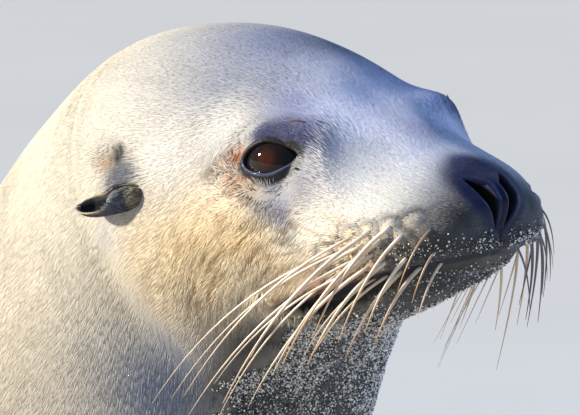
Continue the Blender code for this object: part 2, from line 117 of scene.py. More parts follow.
FORE_BLADES = (
    # aside, ahead, height, reach to the leading edge, to the trailing edge, half thickness, and
    # the leading edge's direction: aside, ahead, up
    (0.085, 0.100, 0.300, 0.085, 0.085, 0.060, 0.00, 1.00, 0.10),
    (0.140, 0.088, 0.225, 0.088, 0.092, 0.056, 0.00, 1.00, 0.10),
    (0.186, 0.080, 0.158, 0.080, 0.088, 0.046, 0.05, 1.00, 0.05),
    (0.217, 0.074, 0.100, 0.070, 0.079, 0.035, 0.15, 1.00, 0.02),
    (0.242, 0.066, 0.050, 0.064, 0.075, 0.026, 0.30, 1.00, 0.00),
    (0.276, 0.050, 0.018, 0.063, 0.080, 0.019, 0.45, 0.90, 0.00),
    (0.326, 0.022, 0.012, 0.058, 0.085, 0.014, 0.55, 0.84, 0.00),
    (0.376, -0.014, 0.009, 0.052, 0.082, 0.011, 0.62, 0.78, 0.00),
    (0.422, -0.056, 0.007, 0.044, 0.070, 0.008, 0.70, 0.71, 0.00),
    (0.460, -0.101, 0.005, 0.034, 0.053, 0.006, 0.78, 0.62, 0.00),
    (0.486, -0.142, 0.004, 0.021, 0.031, 0.005, 0.84, 0.54, 0.00),
    (0.496, -0.164, 0.003, 0.008, 0.012, 0.004, 0.86, 0.50, 0.00),
)
HEEL_BLADES = (
    (0.040, -0.605, 0.092, 0.048, 0.052, 0.050, 0.30, 1.00, 0.00),
    (0.085, -0.632, 0.076, 0.046, 0.050, 0.047, 0.30, 1.00, 0.00),
    (0.125, -0.656, 0.056, 0.042, 0.044, 0.040, 0.25, 1.00, 0.00),
    (0.155, -0.669, 0.040, 0.036, 0.036, 0.033, 0.20, 1.00, 0.00),
    (0.176, -0.674, 0.031, 0.024, 0.024, 0.022, 0.15, 1.00, 0.00),
    (0.184, -0.675, 0.029, 0.010, 0.010, 0.010, 0.15, 1.00, 0.00),
)
HIND_BLADES = (
    (0.151, -0.668, 0.028, 0.028, 0.028, 0.024, 1.00, -0.25, 0.00),
    (0.163, -0.625, 0.022, 0.036, 0.035, 0.020, 0.96, -0.28, 0.00),
    (0.178, -0.575, 0.014, 0.047, 0.044, 0.015, 0.95, -0.31, 0.00),
    (0.195, -0.522, 0.010, 0.060, 0.055, 0.011, 0.94, -0.33, 0.00),
    (0.212, -0.470, 0.007, 0.072, 0.065, 0.008, 0.94, -0.34, 0.00),
    (0.228, -0.422, 0.005, 0.081, 0.073, 0.006, 0.94, -0.34, 0.00),
)
FORE_WRIST = 4.6
TOES = 5
TOE_REACH = np.array((0.075, 0.044, 0.034, 0.038, 0.062))
TOE_NOTCH, TOE_RIDGE = 0.030, 0.30  # how deep the web is cut, and how much thicker the toes are
TOES_FROM, TOES_TO = 2.0, 5.0  # the rows between which the toes part
NAIL_TOES = (1, 2, 3)
NAIL_LENGTH, NAIL_RADIUS, NAIL_BACK = 0.014, 0.0036, 0.30

SAND_EDGE, SAND_END = (80, 1.30), -105  # behind at the mouth's height, slope, and lowest place
RUFFLES = (
    # aside, behind, above, radius
    (58, 98, -22, 24), (62, 122, -34, 28), (58, 114, 12, 8), (48, 56, -26, 16), (56, 82, -12, 14),
)

# ---- the skin's mesh ---------------------------------------------------------------------------
HEAD_COLUMNS, BODY_COLUMNS = 256, 128
TIP_END, FACE_END, HEAD_END = 2, 7, 10  # stations where the rings widen their spacing
TIP_STEP, FACE_STEP, HEAD_STEP, BODY_STEP, LIMB_STEP = 0.0009, 0.0013, 0.0024, 0.0065, 0.006
LIMB_COLUMNS, TOE_COLUMNS = 48, 120
TOE_TIP, TOE_THIN = 0.22, 0.94  # the tips of the toes, in rows, and how much they thin
FACE_INSET = 0.55  # on the face, the skin lies this share as deep in the coat
FLOW_RADIUS = 60.0  # millimetres round the body for each radian of the coat's streams

# A lid's opening, seen along the eye's own axis: how far it reaches from the middle, millimetres.
EYE_AXIS = (0.88, -0.41, 0.235)
EYE_TILT = math.radians(14)
LID_FRONT, LID_BACK, LID_UPPER, LID_LOWER = 13.6, 12.6, 7.0, 6.2
LID_POINT_FRONT, LID_POINT_BACK = 1.42, 1.75  # 1 is a diamond, 2 an ellipse
LID_THICK, LID_ROUND = 2.0, 1.5
LID_HOLE = 5.5  # the skin is opened this far outside the lid's edge
LID_RINGS = (4.5, 3.9, 3.3, 2.8, 2.3, 1.9, 1.5, 1.15, 0.85, 0.6, 0.38, 0.2, 0.08, 0.0)
LID_SIDES = 96
LID_SOFT = 1.6  # how gently the skin bends over the eyeball
LID_GAP = 0.15  # between the lid's inner edge and the eyeball
CUP_EDGE, CUP_SINK, CUP_DEPTH = -0.3, -1.5, 8  # the skin goes on behind the ball as a cup
EYE_REGION = 20  # how far round the eye lies the skin that the lids take their notes from
EYE_FAR = 0.06  # metres: rays towards the eye start this far out

CREASE_REACH, CREASE_CORE = 0.055, 0.012  # the skin is eased this near to where parts meet
CREASE_WEIGHT, CREASE_ROUNDS, LIE_ROUNDS = 0.6, 70, 12

# ---- numbers, places and curves ----------------------------------------------------------------
SIDES = ((1, "left"), (-1, "right"))


def places(value):
    return np.atleast_1d(np.asarray(value, float))


def smoothstep(low, high, value):
    t = np.clip((value - low) / (high - low), 0, 1)
    return t * t * (3 - 2 * t)


def bell(away, width):
    return np.exp(-((away / width) ** 2))


def unit(vectors):
    return vectors / np.maximum(np.linalg.norm(vectors, axis=-1, keepdims=True), 1e-12)


def distance(points, centre):
    return np.linalg.norm(points - np.array(centre), axis=1)


def folded(points):
    """Points with the right side laid over the left."""
    return np.concatenate([np.abs(points[:, :1]), points[:, 1:]], axis=1)


def value_noise(x, y, seed):
    """A smooth pattern from 0 to 1 on the plane."""
    def corner(i, j):
        mixed_up = np.sin(i * 127.1 + j * 311.7 + seed * 74.7) * 43758.5453
        return mixed_up - np.floor(mixed_up)
    i, j = np.floor(x), np.floor(y)
    u, v = smoothstep(0, 1, x - i), smoothstep(0, 1, y - j)
    low = corner(i, j) * (1 - u) + corner(i + 1, j) * u
    high = corner(i, j + 1) * (1 - u) + corner(i + 1, j + 1) * u
    return low * (1 - v) + high * v


def turns_of(count):
    """Directions shared out evenly round a ring, in radians."""
    return 2 * math.pi * np.arange(count) / count


def spans_of(rows, axes):
    """The lengths from row to row, measured over their first numbers."""
    return np.linalg.norm(np.diff(rows[:, :axes], axis=0), axis=1)


def run_at(rows, axes, place):
    """How far along the line through the rows each place lies, in millimetres."""
    along = np.concatenate([[0], np.cumsum(spans_of(rows, axes))])
    return 1000 * np.interp(place, np.arange(len(rows)), along)


def places_along(spans, steps):
    """Places counted in rows, each span cut evenly into lengths of at most its step."""
    found = [np.zeros(1)]
    for i, (span, step) in enumerate(zip(spans, steps)):
        count = max(int(math.ceil(span / step)), 2)
        found.append(i + np.arange(1, count + 1) / count)
    return np.concatenate(found)


class Rows:
    """The smooth curve through rows of numbers, read at places counted in rows."""

    def __init__(self, rows, lengths):
        self.rows = np.array(rows, float)
        self.steps = spans_of(self.rows, lengths)
        rise = np.diff(self.rows, axis=0) / self.steps[:, None]
        before, after = self.steps[:-1, None], self.steps[1:, None]
        inner = (rise[:-1] * after + rise[1:] * before) / (before + after)
        self.slopes = np.vstack([rise[:1], inner, rise[-1:]])

    def at(self, place):
        i = np.clip(place.astype(int), 0, len(self.rows) - 2)
        t = (place - i)[:, None]
        span = self.steps[i][:, None]
        near, far = (1 + 2 * t) * (1 - t) ** 2, t * t * (3 - 2 * t)
        rise, fall = t * (1 - t) ** 2 * span, t * t * (t - 1) * span
        return (
            near * self.rows[i] + far * self.rows[i + 1]
            + rise * self.slopes[i] + fall * self.slopes[i + 1]
        )


def on_head(mm):
    """Places on the head, millimetres, as points of the straight animal."""
    mm = np.asarray(mm, float) / 1000
    aside, back, up = mm[..., 0], mm[..., 1], mm[..., 2]
    c, s = math.cos(HEAD_PITCH), math.sin(HEAD_PITCH)
    ahead = NOSE_AHEAD - back * c - up * s
    height = NOSE_HEIGHT - back * s + up * c
    return np.stack([aside, -ahead, height], axis=-1)


def in_head(points):
    """Points of the straight animal as places on the head, millimetres."""
    c, s = math.cos(HEAD_PITCH), math.sin(HEAD_PITCH)
    drawn, raised = NOSE_AHEAD + points[..., 1], points[..., 2] - NOSE_HEIGHT
    return 1000 * np.stack(
        [points[..., 0], drawn * c - raised * s, drawn * s + raised * c], axis=-1)


def head_row(behind, above, *sizes):
    point = on_head((0, behind, above))
    half, rise, drop, *shape = sizes
    return (-point[1], point[2], half / 1000, rise / 1000, drop / 1000, *shape)


STATIONS = [head_row(*row) for row in HEAD_STATIONS] + list(BODY_STATIONS)
LAST = len(STATIONS) - 1
BODY = Rows(STATIONS, 5)
FORE, HEEL, HIND = Rows(FORE_BLADES, 6), Rows(HEEL_BLADES, 6), Rows(HIND_BLADES, 6)


def power(value, roundness):
    return np.sign(value) * np.abs(value) ** (2 / roundness)


def swell(points):
    push, points = np.zeros(len(points)), folded(points)
    for s in SWELLINGS:
        away = distance(points, on_head((s.aside, s.behind, s.above)))
        push += s.push / 1000 * bell(away, s.radius / 1000)
    return push


def body_points(place, turn, grown):
    """Points of the body's surface, turn radians round from the top towards the left."""
    here = BODY.at(place)
    lean = np.radians(here[:, 5])
    up, side = np.cos(turn), np.sin(turn)
    above = up > 0
    roundness = np.where(above, here[:, 6], here[:, 7])
    reach = np.where(above, here[:, 3], here[:, 4]) * power(up, roundness)
    out = np.stack([
        here[:, 2] * power(side, roundness), reach * np.sin(lean), reach * np.cos(lean)], 1)
    middle = np.stack([np.zeros(len(here)), -here[:, 0], here[:, 1]], 1)
    point = middle + out
    room = np.linalg.norm(out, axis=1)
    grown = np.maximum(swell(point) + grown, -0.5 * room)
    return point + unit(out) * grown[:, None]


def stance(points):
    """Sets points of the straight animal in its pose: flat on the floor, hindquarters to one
    side, and head turned."""
    x, ahead, z = points[:, 0], -points[:, 1], np.maximum(points[:, 2], 0)
    x = x + SWAY * smoothstep(0, 1, (SWAY_AHEAD - ahead) / SWAY_LENGTH)
    along = ahead * NECK_ALONG[0] + z * NECK_ALONG[1]
    turn = HEAD_TURN * smoothstep(TURN_FROM, TURN_TO, along)
    reach = ahead - TURN_AHEAD
    posed = np.stack([
        x * np.cos(turn) + reach * np.sin(turn),
        -(TURN_AHEAD + reach * np.cos(turn) - x * np.sin(turn)),
        z,
    ], axis=1)
    return posed - CENTRE


def stance_of(points, directions):
    """The directions at those points, turned as the stance turns them."""
    step = 0.0005
    lifted = points + (0, 0, 0.01)  # clear of the floor, which would flatten them
    return unit(stance(lifted + directions * step) - stance(lifted - directions * step))


# ---- flippers ----------------------------------------------------------------------------------
def toe_place(across):
    return (1 - across) / 2 * TOES - 0.5


def toe_reach(across):
    place = toe_place(across)
    i = np.clip(place.astype(int), 0, TOES - 2)
    t = smoothstep(0, 1, place - i)
    level = TOE_REACH[i] * (1 - t) + TOE_REACH[i + 1] * t
    return level - TOE_NOTCH * (1 - np.abs(np.cos(math.pi * place)))


def blade_points(rows, place, side, across, up, toes=False):
    """Points of a flipper: across is 1 at its leading edge and -1 at its trailing edge, up is 1
    on its upper face and -1 on its lower. side is 1 on the left and -1 on the right."""
    last = len(rows.rows) - 1
    here = rows.at(place)
    step = rows.at(np.minimum(place + 0.05, last)) - rows.at(np.maximum(place - 0.05, 0))
    along = unit(step[:, :3] * (1, -1, 1))
    lead = here[:, 6:9] * (1, -1, 1)
    lead = unit(lead - along * np.sum(lead * along, axis=1, keepdims=True))
    upper = np.cross(along, lead)
    upper *= np.where(upper[:, 2:] < 0, -1, 1)
    reach = np.where(across > 0, here[:, 3], here[:, 4])
    thick = here[:, 5] * (0.78 + 0.22 * across)
    point = here[:, :3] * (1, -1, 1) + lead * (reach * across)[:, None]
    if toes:
        share = smoothstep(TOES_FROM, TOES_TO, place)
        thick = thick * (1 + share * TOE_RIDGE * np.cos(2 * math.pi * toe_place(across)))
        point += along * (share * toe_reach(across))[:, None]
    point += upper * (thick * up)[:, None]
    return point * (side, 1, 1)


# ---- surfaces made of rings --------------------------------------------------------------------
class Surface:
    """Points of a part of the skin with what each knows of its place: the run along the part,
    the stream of the coat it lies in, and the coat's direction."""

    def __init__(self, points, faces, **known):
        self.points, self.faces, self.known = points, faces, known


def strips(start, columns, rows):
    """Faces between rows rings of the same number of points, from index start on."""
    ring = np.arange(columns)
    beside = (ring + 1) % columns
    first = start + columns * np.arange(rows - 1)[:, None]
    faces = np.stack(
        [first + ring, first + beside, first + columns + beside, first + columns + ring], axis=2)
    return [tuple(face) for face in faces.reshape(-1, 4).tolist()]


def end_faces(columns, rows, paired):
    """Faces that close the first and last rings, whose points k and paired - k are opposite."""
    faces = []
    for start in (0, (rows - 1) * columns):
        for k in range(columns // 2):
            corners = dict.fromkeys((k, k + 1, (paired - k - 1) % columns, (paired - k) % columns))
            face = tuple(start + corner for corner in corners)
            if len(face) > 2:
                faces.append(face if start else face[::-1])
    return faces


def tube_faces(columns, rows):
    """Faces of a tube of rings, with one face at each end."""
    first, last = range(columns), range(columns * (rows - 1), columns * rows)
    return strips(0, columns, rows) + [tuple(first)[::-1], tuple(last)]


def round_rings(values, span=None):
    """Differences round rings, where a count starts again after span."""
    change = np.roll(values, -1, axis=1) - np.roll(values, 1, axis=1)
    return (change + span / 2) % span - span / 2 if span else change


def lie_of(points, stream, span):
    """Directions on a grid of rings along which stream is constant, towards later rings."""
    slide, turn = np.gradient(stream, axis=0)[..., None], round_rings(stream, span)[..., None]
    lie = np.gradient(points, axis=0) * turn - round_rings(points) * slide
    return unit(lie * np.where(turn < 0, -1, 1))


def normals_of(points):
    return unit(np.cross(round_rings(points), np.gradient(points, axis=0)))


# ---- the head's detail, millimetres ------------------------------------------------------------
NOSTRIL = ((3.8, 5.0), (10.2, 8.2), (8.7, 0.0), (2.6, -12.5))  # its corners, aside and above
NOSTRIL_DEPTH = 10.0
NOSE_HALF_WIDTH, NOSE_TOP, NOSE_BOTTOM = 15.0, 14.0, -15.5
MOUTH_GAP, GAP_DEPTH = 8.5, 6.5
WHISKER_ROWS, WHISKER_COLUMNS = 5, 6
WHISKER_FRONT, WHISKER_STEP, WHISKER_STAGGER = 7, 9.6, 4.6
WHISKER_TOP, WHISKER_DROP, WHISKER_SLOPE = -3.0, 4.9, 0.25
MOUND_RADIUS = 2.7

Fold = namedtuple("Fold", "aside behind above along length width push")
FOLDS = (
    Fold(52, 104, 33, (0.1, 0.9, -0.35), 16, 8.5, 2.6),  # the brow's crest
    Fold(53, 79, 20, (-0.2, 0.9, 0.2), 11, 8.0, -4.0),  # the dip before the eye
    Fold(36, 64, 18, (-0.2, 0.9, 0.3), 12, 9.0, -1.6),  # the valley from brow to muzzle
    Fold(57, 96, -5, (0.2, 0.9, -0.1), 16, 5.0, 1.5),  # the pouch under the eye
    Fold(58, 96, -14, (0.2, 0.9, -0.25), 20, 4.0, -1.1),  # the crease below it
    Fold(46, 62, 4, (0.2, 0.9, 0.4), 14, 5.0, 1.1),  # the muzzle's edge before the eye
    Fold(40, 60, -2, (0.3, 0.9, 0.1), 24, 3.0, -0.7),
    Fold(71, 173, 15, (0.2, 0.9, -0.3), 5, 3.5, -2.4),  # the pit over the ear
)


def mouth_share(behind):
    """How far back along the mouth a place lies, from 0 to 1."""
    return (behind - MOUTH_FRONT[0]) / (MOUTH_CORNER[0] - MOUTH_FRONT[0])


def mouth_line(behind):
    share = mouth_share(behind)
    sag = 2.0 * np.sin(math.pi * np.clip(share, 0, 1))
    return MOUTH_FRONT[1] + (MOUTH_CORNER[1] - MOUTH_FRONT[1]) * share + sag


def mouth_gap(behind):
    """How far the lower lip lies below the upper, highest half-way along the mouth."""
    share = np.clip(mouth_share(behind), 0, 1)
    return 1.0 + MOUTH_GAP * np.sin(math.pi * share ** 2.1) ** 0.9


def nostril_distance(aside, above):
    """How far a place seen from the front lies outside the nostril's opening."""
    away = np.full(aside.shape, -1e3)
    for (x0, y0), (x1, y1) in zip(NOSTRIL, NOSTRIL[1:] + NOSTRIL[:1]):
        dx, dy = x1 - x0, y1 - y0
        length = math.hypot(dx, dy)
        away = np.maximum(away, ((aside - x0) * -dy + (above - y0) * dx) / length)
    return away


def nose_distance(aside, above):
    """How far a place seen from the front lies outside the bare pad of the nose, as a share of
    the pad's size."""
    height = np.where(above > 0, above / NOSE_TOP, above / NOSE_BOTTOM)
    width = NOSE_HALF_WIDTH * (1 - 0.45 * smoothstep(4, -14, above))
    return np.hypot(np.abs(height) ** 1.3, np.abs(aside / width) ** 1.3) - 1


def whisker_roots():
    """(row, column, behind, above) of each whisker on the pad."""
    for row in range(WHISKER_ROWS):
        for column in range(WHISKER_COLUMNS - (row == 0)):
            behind = WHISKER_FRONT + WHISKER_STEP * column + WHISKER_STAGGER * (row % 2)
            above = WHISKER_TOP - WHISKER_DROP * row - WHISKER_SLOPE * behind
            yield row, column, behind, above


def whisker_mounds(mm):
    """How far each place on the head belongs to a mound that a whisker grows from, and to the
    creases between the mounds."""
    a, b, c = folded(mm).T
    mound, crease = np.zeros(len(a)), np.zeros(len(a))
    for _, _, behind, above in whisker_roots():
        away = np.hypot((b - behind) * 0.8, c - above)
        mound = np.maximum(mound, bell(away, MOUND_RADIUS))
        crease = np.maximum(crease, bell(away - 4.4, 1.3))
    seen = smoothstep(12, 20, a) * smoothstep(9, 18, b) * smoothstep(0.5, 3, c - mouth_line(b))
    return mound * seen, np.clip(crease - 1.6 * mound, 0, 1) * seen


def sculpted(mm):
    """How far the skin stands out of its plain form at places on the head."""
    a, b, c = folded(mm).T
    out = np.zeros(len(a))
    front = smoothstep(17, 11, b)
    pit = nostril_distance(a, c)
    out += front * 0.7 * bell(pit - 1.4, 1.2) * smoothstep(-14, -8, c)
    out -= front * 1.0 * bell(a, 1.2) * smoothstep(6, 2, c)
    out += front * 0.8 * bell(np.hypot(a, c - 12), 6)

    lip, gap = c - mouth_line(b), mouth_gap(b)
    shut = smoothstep(MOUTH_CORNER[0] + 5, MOUTH_CORNER[0] - 6, b)
    inside = smoothstep(0.8, -1.2, lip) * smoothstep(-gap - 1.6, -gap + 0.4, lip)
    out -= shut * GAP_DEPTH * inside * (0.18 + 0.82 * smoothstep(12, 40, b))
    out += 4.5 * bell(b - 9, 10) * smoothstep(0.5, -2.5, lip) * smoothstep(-22, -12, lip)
    out += shut * 1.6 * bell(lip - 4.0, 3.0) * smoothstep(0, 20, b)
    out += shut * 1.4 * bell(lip + gap + 3.5, 3.5)
    corner = np.hypot(b - MOUTH_CORNER[0] - 5, lip + 1)
    out += 1.6 * bell(corner, 6) - 1.0 * bell(corner - 10, 3) * (b > MOUTH_CORNER[0])

    mound, crease = whisker_mounds(mm)
    out += 1.15 * mound - 0.85 * crease
    for fold in FOLDS:
        away = folded(mm) - (fold.aside, fold.behind, fold.above)
        line = unit(np.array(fold.along))
        run = away @ line
        beside = np.linalg.norm(away - run[:, None] * line, axis=1)
        out += fold.push * bell(run, fold.length) * bell(beside, fold.width)
    return out / 1000


def nostril_depth(mm):
    """How far back the nose goes: its nostrils are deep, and its top reaches ahead of its foot."""
    a, b, c = folded(mm).T
    deep = smoothstep(17, 11, b) * smoothstep(0.5, -1.8, nostril_distance(a, c))
    ahead = 3.2 * bell(c - 7, 9) * bell(a, 13) - 2.6 * bell(c + 15, 8) * bell(a, 14)
    return (NOSTRIL_DEPTH * deep - ahead * smoothstep(26, 8, b)) / 1000


def eye_frame(side):
    """The eye's middle, and its axes to the front corner, up and out, in the straight animal."""
    middle = on_head(EYE_PLACE * (side, 1, 1))
    origin = on_head((0, 0, 0))
    axis = unit(on_head(np.array(EYE_AXIS) * (side, 1, 1)) - origin)
    ahead = unit(on_head((0, -1, 0)) - origin)
    front = unit(ahead - axis * (ahead @ axis))
    up = unit(np.cross(axis, front)) * side
    if up[2] < 0:
        up = -up
    c, s = math.cos(EYE_TILT), math.sin(EYE_TILT)
    return middle, front * c + up * s, up * c - front * s, axis


def lid_reach(angle):
    """How far the opening between the lids reaches in a direction, millimetres."""
    x, y = np.cos(angle), np.sin(angle)
    wide = np.where(x > 0, LID_FRONT, LID_BACK)
    high = np.where(y > 0, LID_UPPER, LID_LOWER)
    point = np.where(x > 0, LID_POINT_FRONT, LID_POINT_BACK)
    return (np.abs(x / wide) ** point + np.abs(y / high) ** point) ** (-1 / point)


def in_eye(points, side):
    """Places seen along the eye's axis: x to the front corner, y up, z out, and how far outside
    the lid's edge, all in millimetres."""
    middle, front, up, axis = eye_frame(side)
    away = 1000 * (points - middle)
    x, y, z = away @ front, away @ up, away @ axis
    return x, y, z, np.hypot(x, y) - lid_reach(np.arctan2(y, x))


def ball_height(x, y, radius):
    return np.sqrt(np.maximum(radius ** 2 - x * x - y * y, 0))


def drape(points):
    """Lays the skin over the eyeballs."""
    draped = points.copy()
    for side, _ in SIDES:
        x, y, z, _ = in_eye(points, side)
        ball = ball_height(x, y, EYE_RADIUS + LID_THICK)
        gap = np.clip(0.5 + 0.5 * (ball - z) / LID_SOFT, 0, 1)
        height = z * (1 - gap) + ball * gap + LID_SOFT * gap * (1 - gap)
        lift = np.where((z > 0) & (ball > 0), (height - z) / 1000, 0)
        draped += lift[:, None] * eye_frame(side)[3]
    return draped


# ---- building the skin -------------------------------------------------------------------------
def ring_places():
    """Where the body's rings lie, counted in stations: those of the head, and the rest."""
    spans = spans_of(BODY.rows, 2)
    spans[[0, -1]] = BODY.steps[[0, -1]]
    steps = [
        TIP_STEP if i < TIP_END else FACE_STEP if i < FACE_END
        else HEAD_STEP if i < HEAD_END else BODY_STEP for i in range(LAST)]
    every = places_along(spans, steps)
    return every[every <= HEAD_END], every[every > HEAD_END]


def stream_of(place, turn):
    """Which stream of the coat a place lies in: lines of one value run along the coat's lie,
    down over the cheek and round the eye. Millimetres round a body of FLOW_RADIUS."""
    here = BODY.at(place)
    behind = 1000 * (NOSE_AHEAD - here[:, 0])
    round_it = np.abs(turn)
    cheek = 0.42 * smoothstep(45, 150, behind) * bell(round_it - math.radians(108), 0.95)
    run = behind - EYE_PLACE[1]
    across = (round_it - math.radians(72)) * 52
    parted = 15.0 ** 2 * across / (run ** 2 + across ** 2 + 110) / FLOW_RADIUS
    return FLOW_RADIUS * np.sign(turn) * (round_it - cheek - parted)


def body_surface(inset):
    """Head and body from the nose's tip to the tail's, closed all round."""
    head, rest = ring_places()
    ends = body_points(places((head[0], LAST)), places((0.0, 0.0)), 0)
    notes = ("place", "turn", "run", "stream", "lie")
    blocks, known = [], {name: [] for name in notes}

    def lay(points, *values):
        blocks.append(points)
        for name, value in zip(notes, values):
            known[name].append(np.array(value))

    lay(ends[:1], [0.0], [0.0], [0.0], [0.0], [[0.0, 0.0, 1.0]])
    for steps, columns in ((head[1:], HEAD_COLUMNS), (rest[:-1], BODY_COLUMNS)):
        turns = turns_of(columns)
        turns = np.where(turns > math.pi, turns - 2 * math.pi, turns)
        place, turn = (v.ravel() for v in np.meshgrid(steps, turns, indexing="ij"))
        shape = (len(steps), columns)
        depth = inset * (FACE_INSET + (1 - FACE_INSET) * smoothstep(7, 12, place))
        points = body_points(place, turn, -depth)
        if columns == HEAD_COLUMNS:
            normal, mm = normals_of(points.reshape(*shape, 3)).reshape(-1, 3), in_head(points)
            inward = (on_head((0, 1, 0)) - on_head((0, 0, 0))) * 1000
            points = drape(points + normal * sculpted(mm)[:, None]
                           + inward * nostril_depth(mm)[:, None])
        stream = stream_of(place, turn)
        lie = lie_of(points.reshape(*shape, 3), stream.reshape(shape), 2 * math.pi * FLOW_RADIUS)
        lay(points, place, turn, run_at(BODY.rows, 2, place), stream, lie.reshape(-1, 3))
    lay(ends[1:], [float(LAST)], [0.0], run_at(BODY.rows, 2, [float(LAST)]), [0.0],
        [[0.0, 1.0, 0.0]])

    first, second = len(head) - 1, len(rest) - 1
    start = 1 + first * HEAD_COLUMNS
    end = start + second * BODY_COLUMNS
    faces = strips(1, HEAD_COLUMNS, first) + strips(start, BODY_COLUMNS, second)
    for k in range(BODY_COLUMNS):
        a, b, c = (start - HEAD_COLUMNS + (2 * k + j) % HEAD_COLUMNS for j in range(3))
        low, beside = start + k, start + (k + 1) % BODY_COLUMNS
        faces += [(a, b, low), (b, c, beside, low)]
    for k in range(HEAD_COLUMNS):
        faces.append((0, 1 + (k + 1) % HEAD_COLUMNS, 1 + k))
    for k in range(BODY_COLUMNS):
        faces.append((end, end - BODY_COLUMNS + k, end - BODY_COLUMNS + (k + 1) % BODY_COLUMNS))
    known = {name: np.concatenate(values) for name, values in known.items()}
    return Surface(np.vstack(blocks), faces, **known)


def rim_of_hole(faces, kept):
    """The vertices round the hole that the faces not kept leave, in order."""
    edges = {}
    for face, keep in zip(faces, kept):
        for a, b in zip(face, face[1:] + face[:1]):
            edges[(a, b)] = keep
    follow = {b: a for (a, b), keep in edges.items() if not keep and edges.get((b, a), False)}
    start = next(iter(follow))
    loop = [start]
    while follow[loop[-1]] != start:
        loop.append(follow[loop[-1]])
    return loop


def zip_loops(outer, outer_angles, inner, inner_angles):
    """Triangles between two closed loops that run the same way round."""
    shift = int(np.argmin(np.abs(np.angle(np.exp(1j * (inner_angles - outer_angles[0]))))))
    inner = list(inner[shift:]) + list(inner[:shift])
    inner_angles = np.concatenate([inner_angles[shift:], inner_angles[:shift]])
    rise = np.unwrap(outer_angles)
    rise_in = np.unwrap(inner_angles)
    rise_in += 2 * math.pi * np.round((rise[0] - rise_in[0]) / (2 * math.pi))
    i = j = 0
    made = []
    while i < len(outer) or j < len(inner):
        next_out = rise[(i + 1) % len(outer)] + 2 * math.pi * ((i + 1) // len(outer))
        next_in = rise_in[(j + 1) % len(inner)] + 2 * math.pi * ((j + 1) // len(inner))
        a, b = outer[i % len(outer)], inner[j % len(inner)]
        if j >= len(inner) or (i < len(outer) and next_out < next_in):
            i += 1
            made.append((a, outer[i % len(outer)], b))
        else:
            j += 1
            made.append((a, inner[j % len(inner)], b))
    return made


def open_eye(skin, side):
    """Opens the skin over an eyeball, and sets the rims of the lids round the opening."""
    middle, front, up, axis = eye_frame(side)
    _, _, z, edge = in_eye(skin.points, side)
    over = (edge < LID_HOLE) & (z > 0)
    kept = [not any(over[list(face)]) for face in skin.faces]
    loop = rim_of_hole(skin.faces, kept)
    tree = BVHTree.FromPolygons(skin.points.tolist(), skin.faces)

    turns = turns_of(LID_SIDES) * side
    ways = front * np.cos(turns)[:, None], up * np.sin(turns)[:, None]
    rings = []
    for offset in LID_RINGS + (CUP_EDGE,):
        away = (lid_reach(turns) + offset)[:, None] / 1000
        seen = middle + away * ways[0] + away * ways[1]
        ring = np.array([
            tree.ray_cast(Vector(place + axis * EYE_FAR), Vector(-axis))[0] for place in seen])
        x, y, _, _ = in_eye(ring, side)
        part = min(max(offset, 0) / LID_ROUND, 1)
        thick = LID_THICK * math.sqrt(1 - (1 - part) ** 2) + (LID_GAP if offset >= 0 else CUP_SINK)
        fall = ball_height(x, y, EYE_RADIUS + LID_THICK) - ball_height(x, y, EYE_RADIUS + thick)
        fall = np.where(offset < LID_ROUND, fall, 0)
        rings.append(ring - axis * (fall / 1000)[:, None])
    points = np.vstack(rings + [(middle + axis * (EYE_RADIUS - CUP_DEPTH) / 1000)[None]])
    close = np.flatnonzero((edge < EYE_REGION) & (z > 0))
    source = close[nearest(points, skin.points[close])[0]]

    faces = [face for face, keep in zip(skin.faces, kept) if keep]
    x, y, _, _ = in_eye(skin.points[loop], side)
    angles = np.unwrap(np.arctan2(y, x))
    if (angles[-1] - angles[0]) * side < 0:
        loop, angles = loop[::-1], angles[::-1]
    start = len(skin.points)
    join = zip_loops(loop, angles * side, range(start, start + LID_SIDES), turns * side)
    cup = start + len(rings) * LID_SIDES
    last = cup - LID_SIDES
    made = join + strips(start, LID_SIDES, len(rings))
    made += [(last + k, last + (k + 1) % LID_SIDES, cup) for k in range(LID_SIDES)]
    every = np.vstack([skin.points, points])
    a, b, c = (every[[face[i] for face in join]] for i in range(3))
    if np.sum(np.cross(b - a, c - a) @ axis) < 0:
        made = [face[::-1] for face in made]
    known = {name: np.concatenate([value, value[source]]) for name, value in skin.known.items()}
    return Surface(every, faces + made, **known)


def limb_surface(rows, side, columns, part, toes=False):
    """A flipper with its root and tip closed."""
    last = len(rows.rows) - 1
    steps = places_along(spans_of(rows.rows, 3), [LIMB_STEP] * last)
    half = columns // 2
    count = np.arange(columns)
    if toes:
        across = np.where(count <= half, 1 - 2 * count / half, 2 * count / half - 3)
        up = np.sqrt(1 - across ** 2) * np.where(count <= half, 1, -1)
    else:
        across, up = np.cos(math.pi * count / half), np.sin(math.pi * count / half)
    place, across, up = steps.repeat(columns), np.tile(across, len(steps)), np.tile(up, len(steps))
    if toes:
        end = np.clip((place - last + TOE_TIP) / TOE_TIP, 0, 1)
        up = up * np.sqrt(1 - TOE_THIN * end ** 2)
    points = blade_points(rows, place, side, across, up, toes)
    lie = np.gradient(points.reshape(len(steps), columns, 3), axis=0).reshape(-1, 3)
    faces = strips(0, columns, len(steps)) + end_faces(columns, len(steps), 0)
    return Surface(
        points, faces, place=place, turn=np.arctan2(up, across),
        run=run_at(rows.rows, 3, place), stream=across * (1000 * rows.at(place)[:, 3]),
        lie=unit(lie), part=np.full(len(points), float(part)))


def outward(points, faces):
    """The faces, turned so that they point out of the closed shape."""
    a, b, c = (points[[face[i] for face in faces[::7]]] for i in range(3))
    return faces if np.sum(a * np.cross(b, c)) > 0 else [face[::-1] for face in faces]


def new_mesh(name, points, faces):
    mesh = bpy.data.meshes.new(name)
    mesh.from_pydata(np.asarray(points).tolist(), [], faces)
    mesh.update()
    return mesh


def new_object(mesh):
    obj = bpy.data.objects.new(mesh.name, mesh)
    bpy.context.scene.collection.objects.link(obj)
    return obj


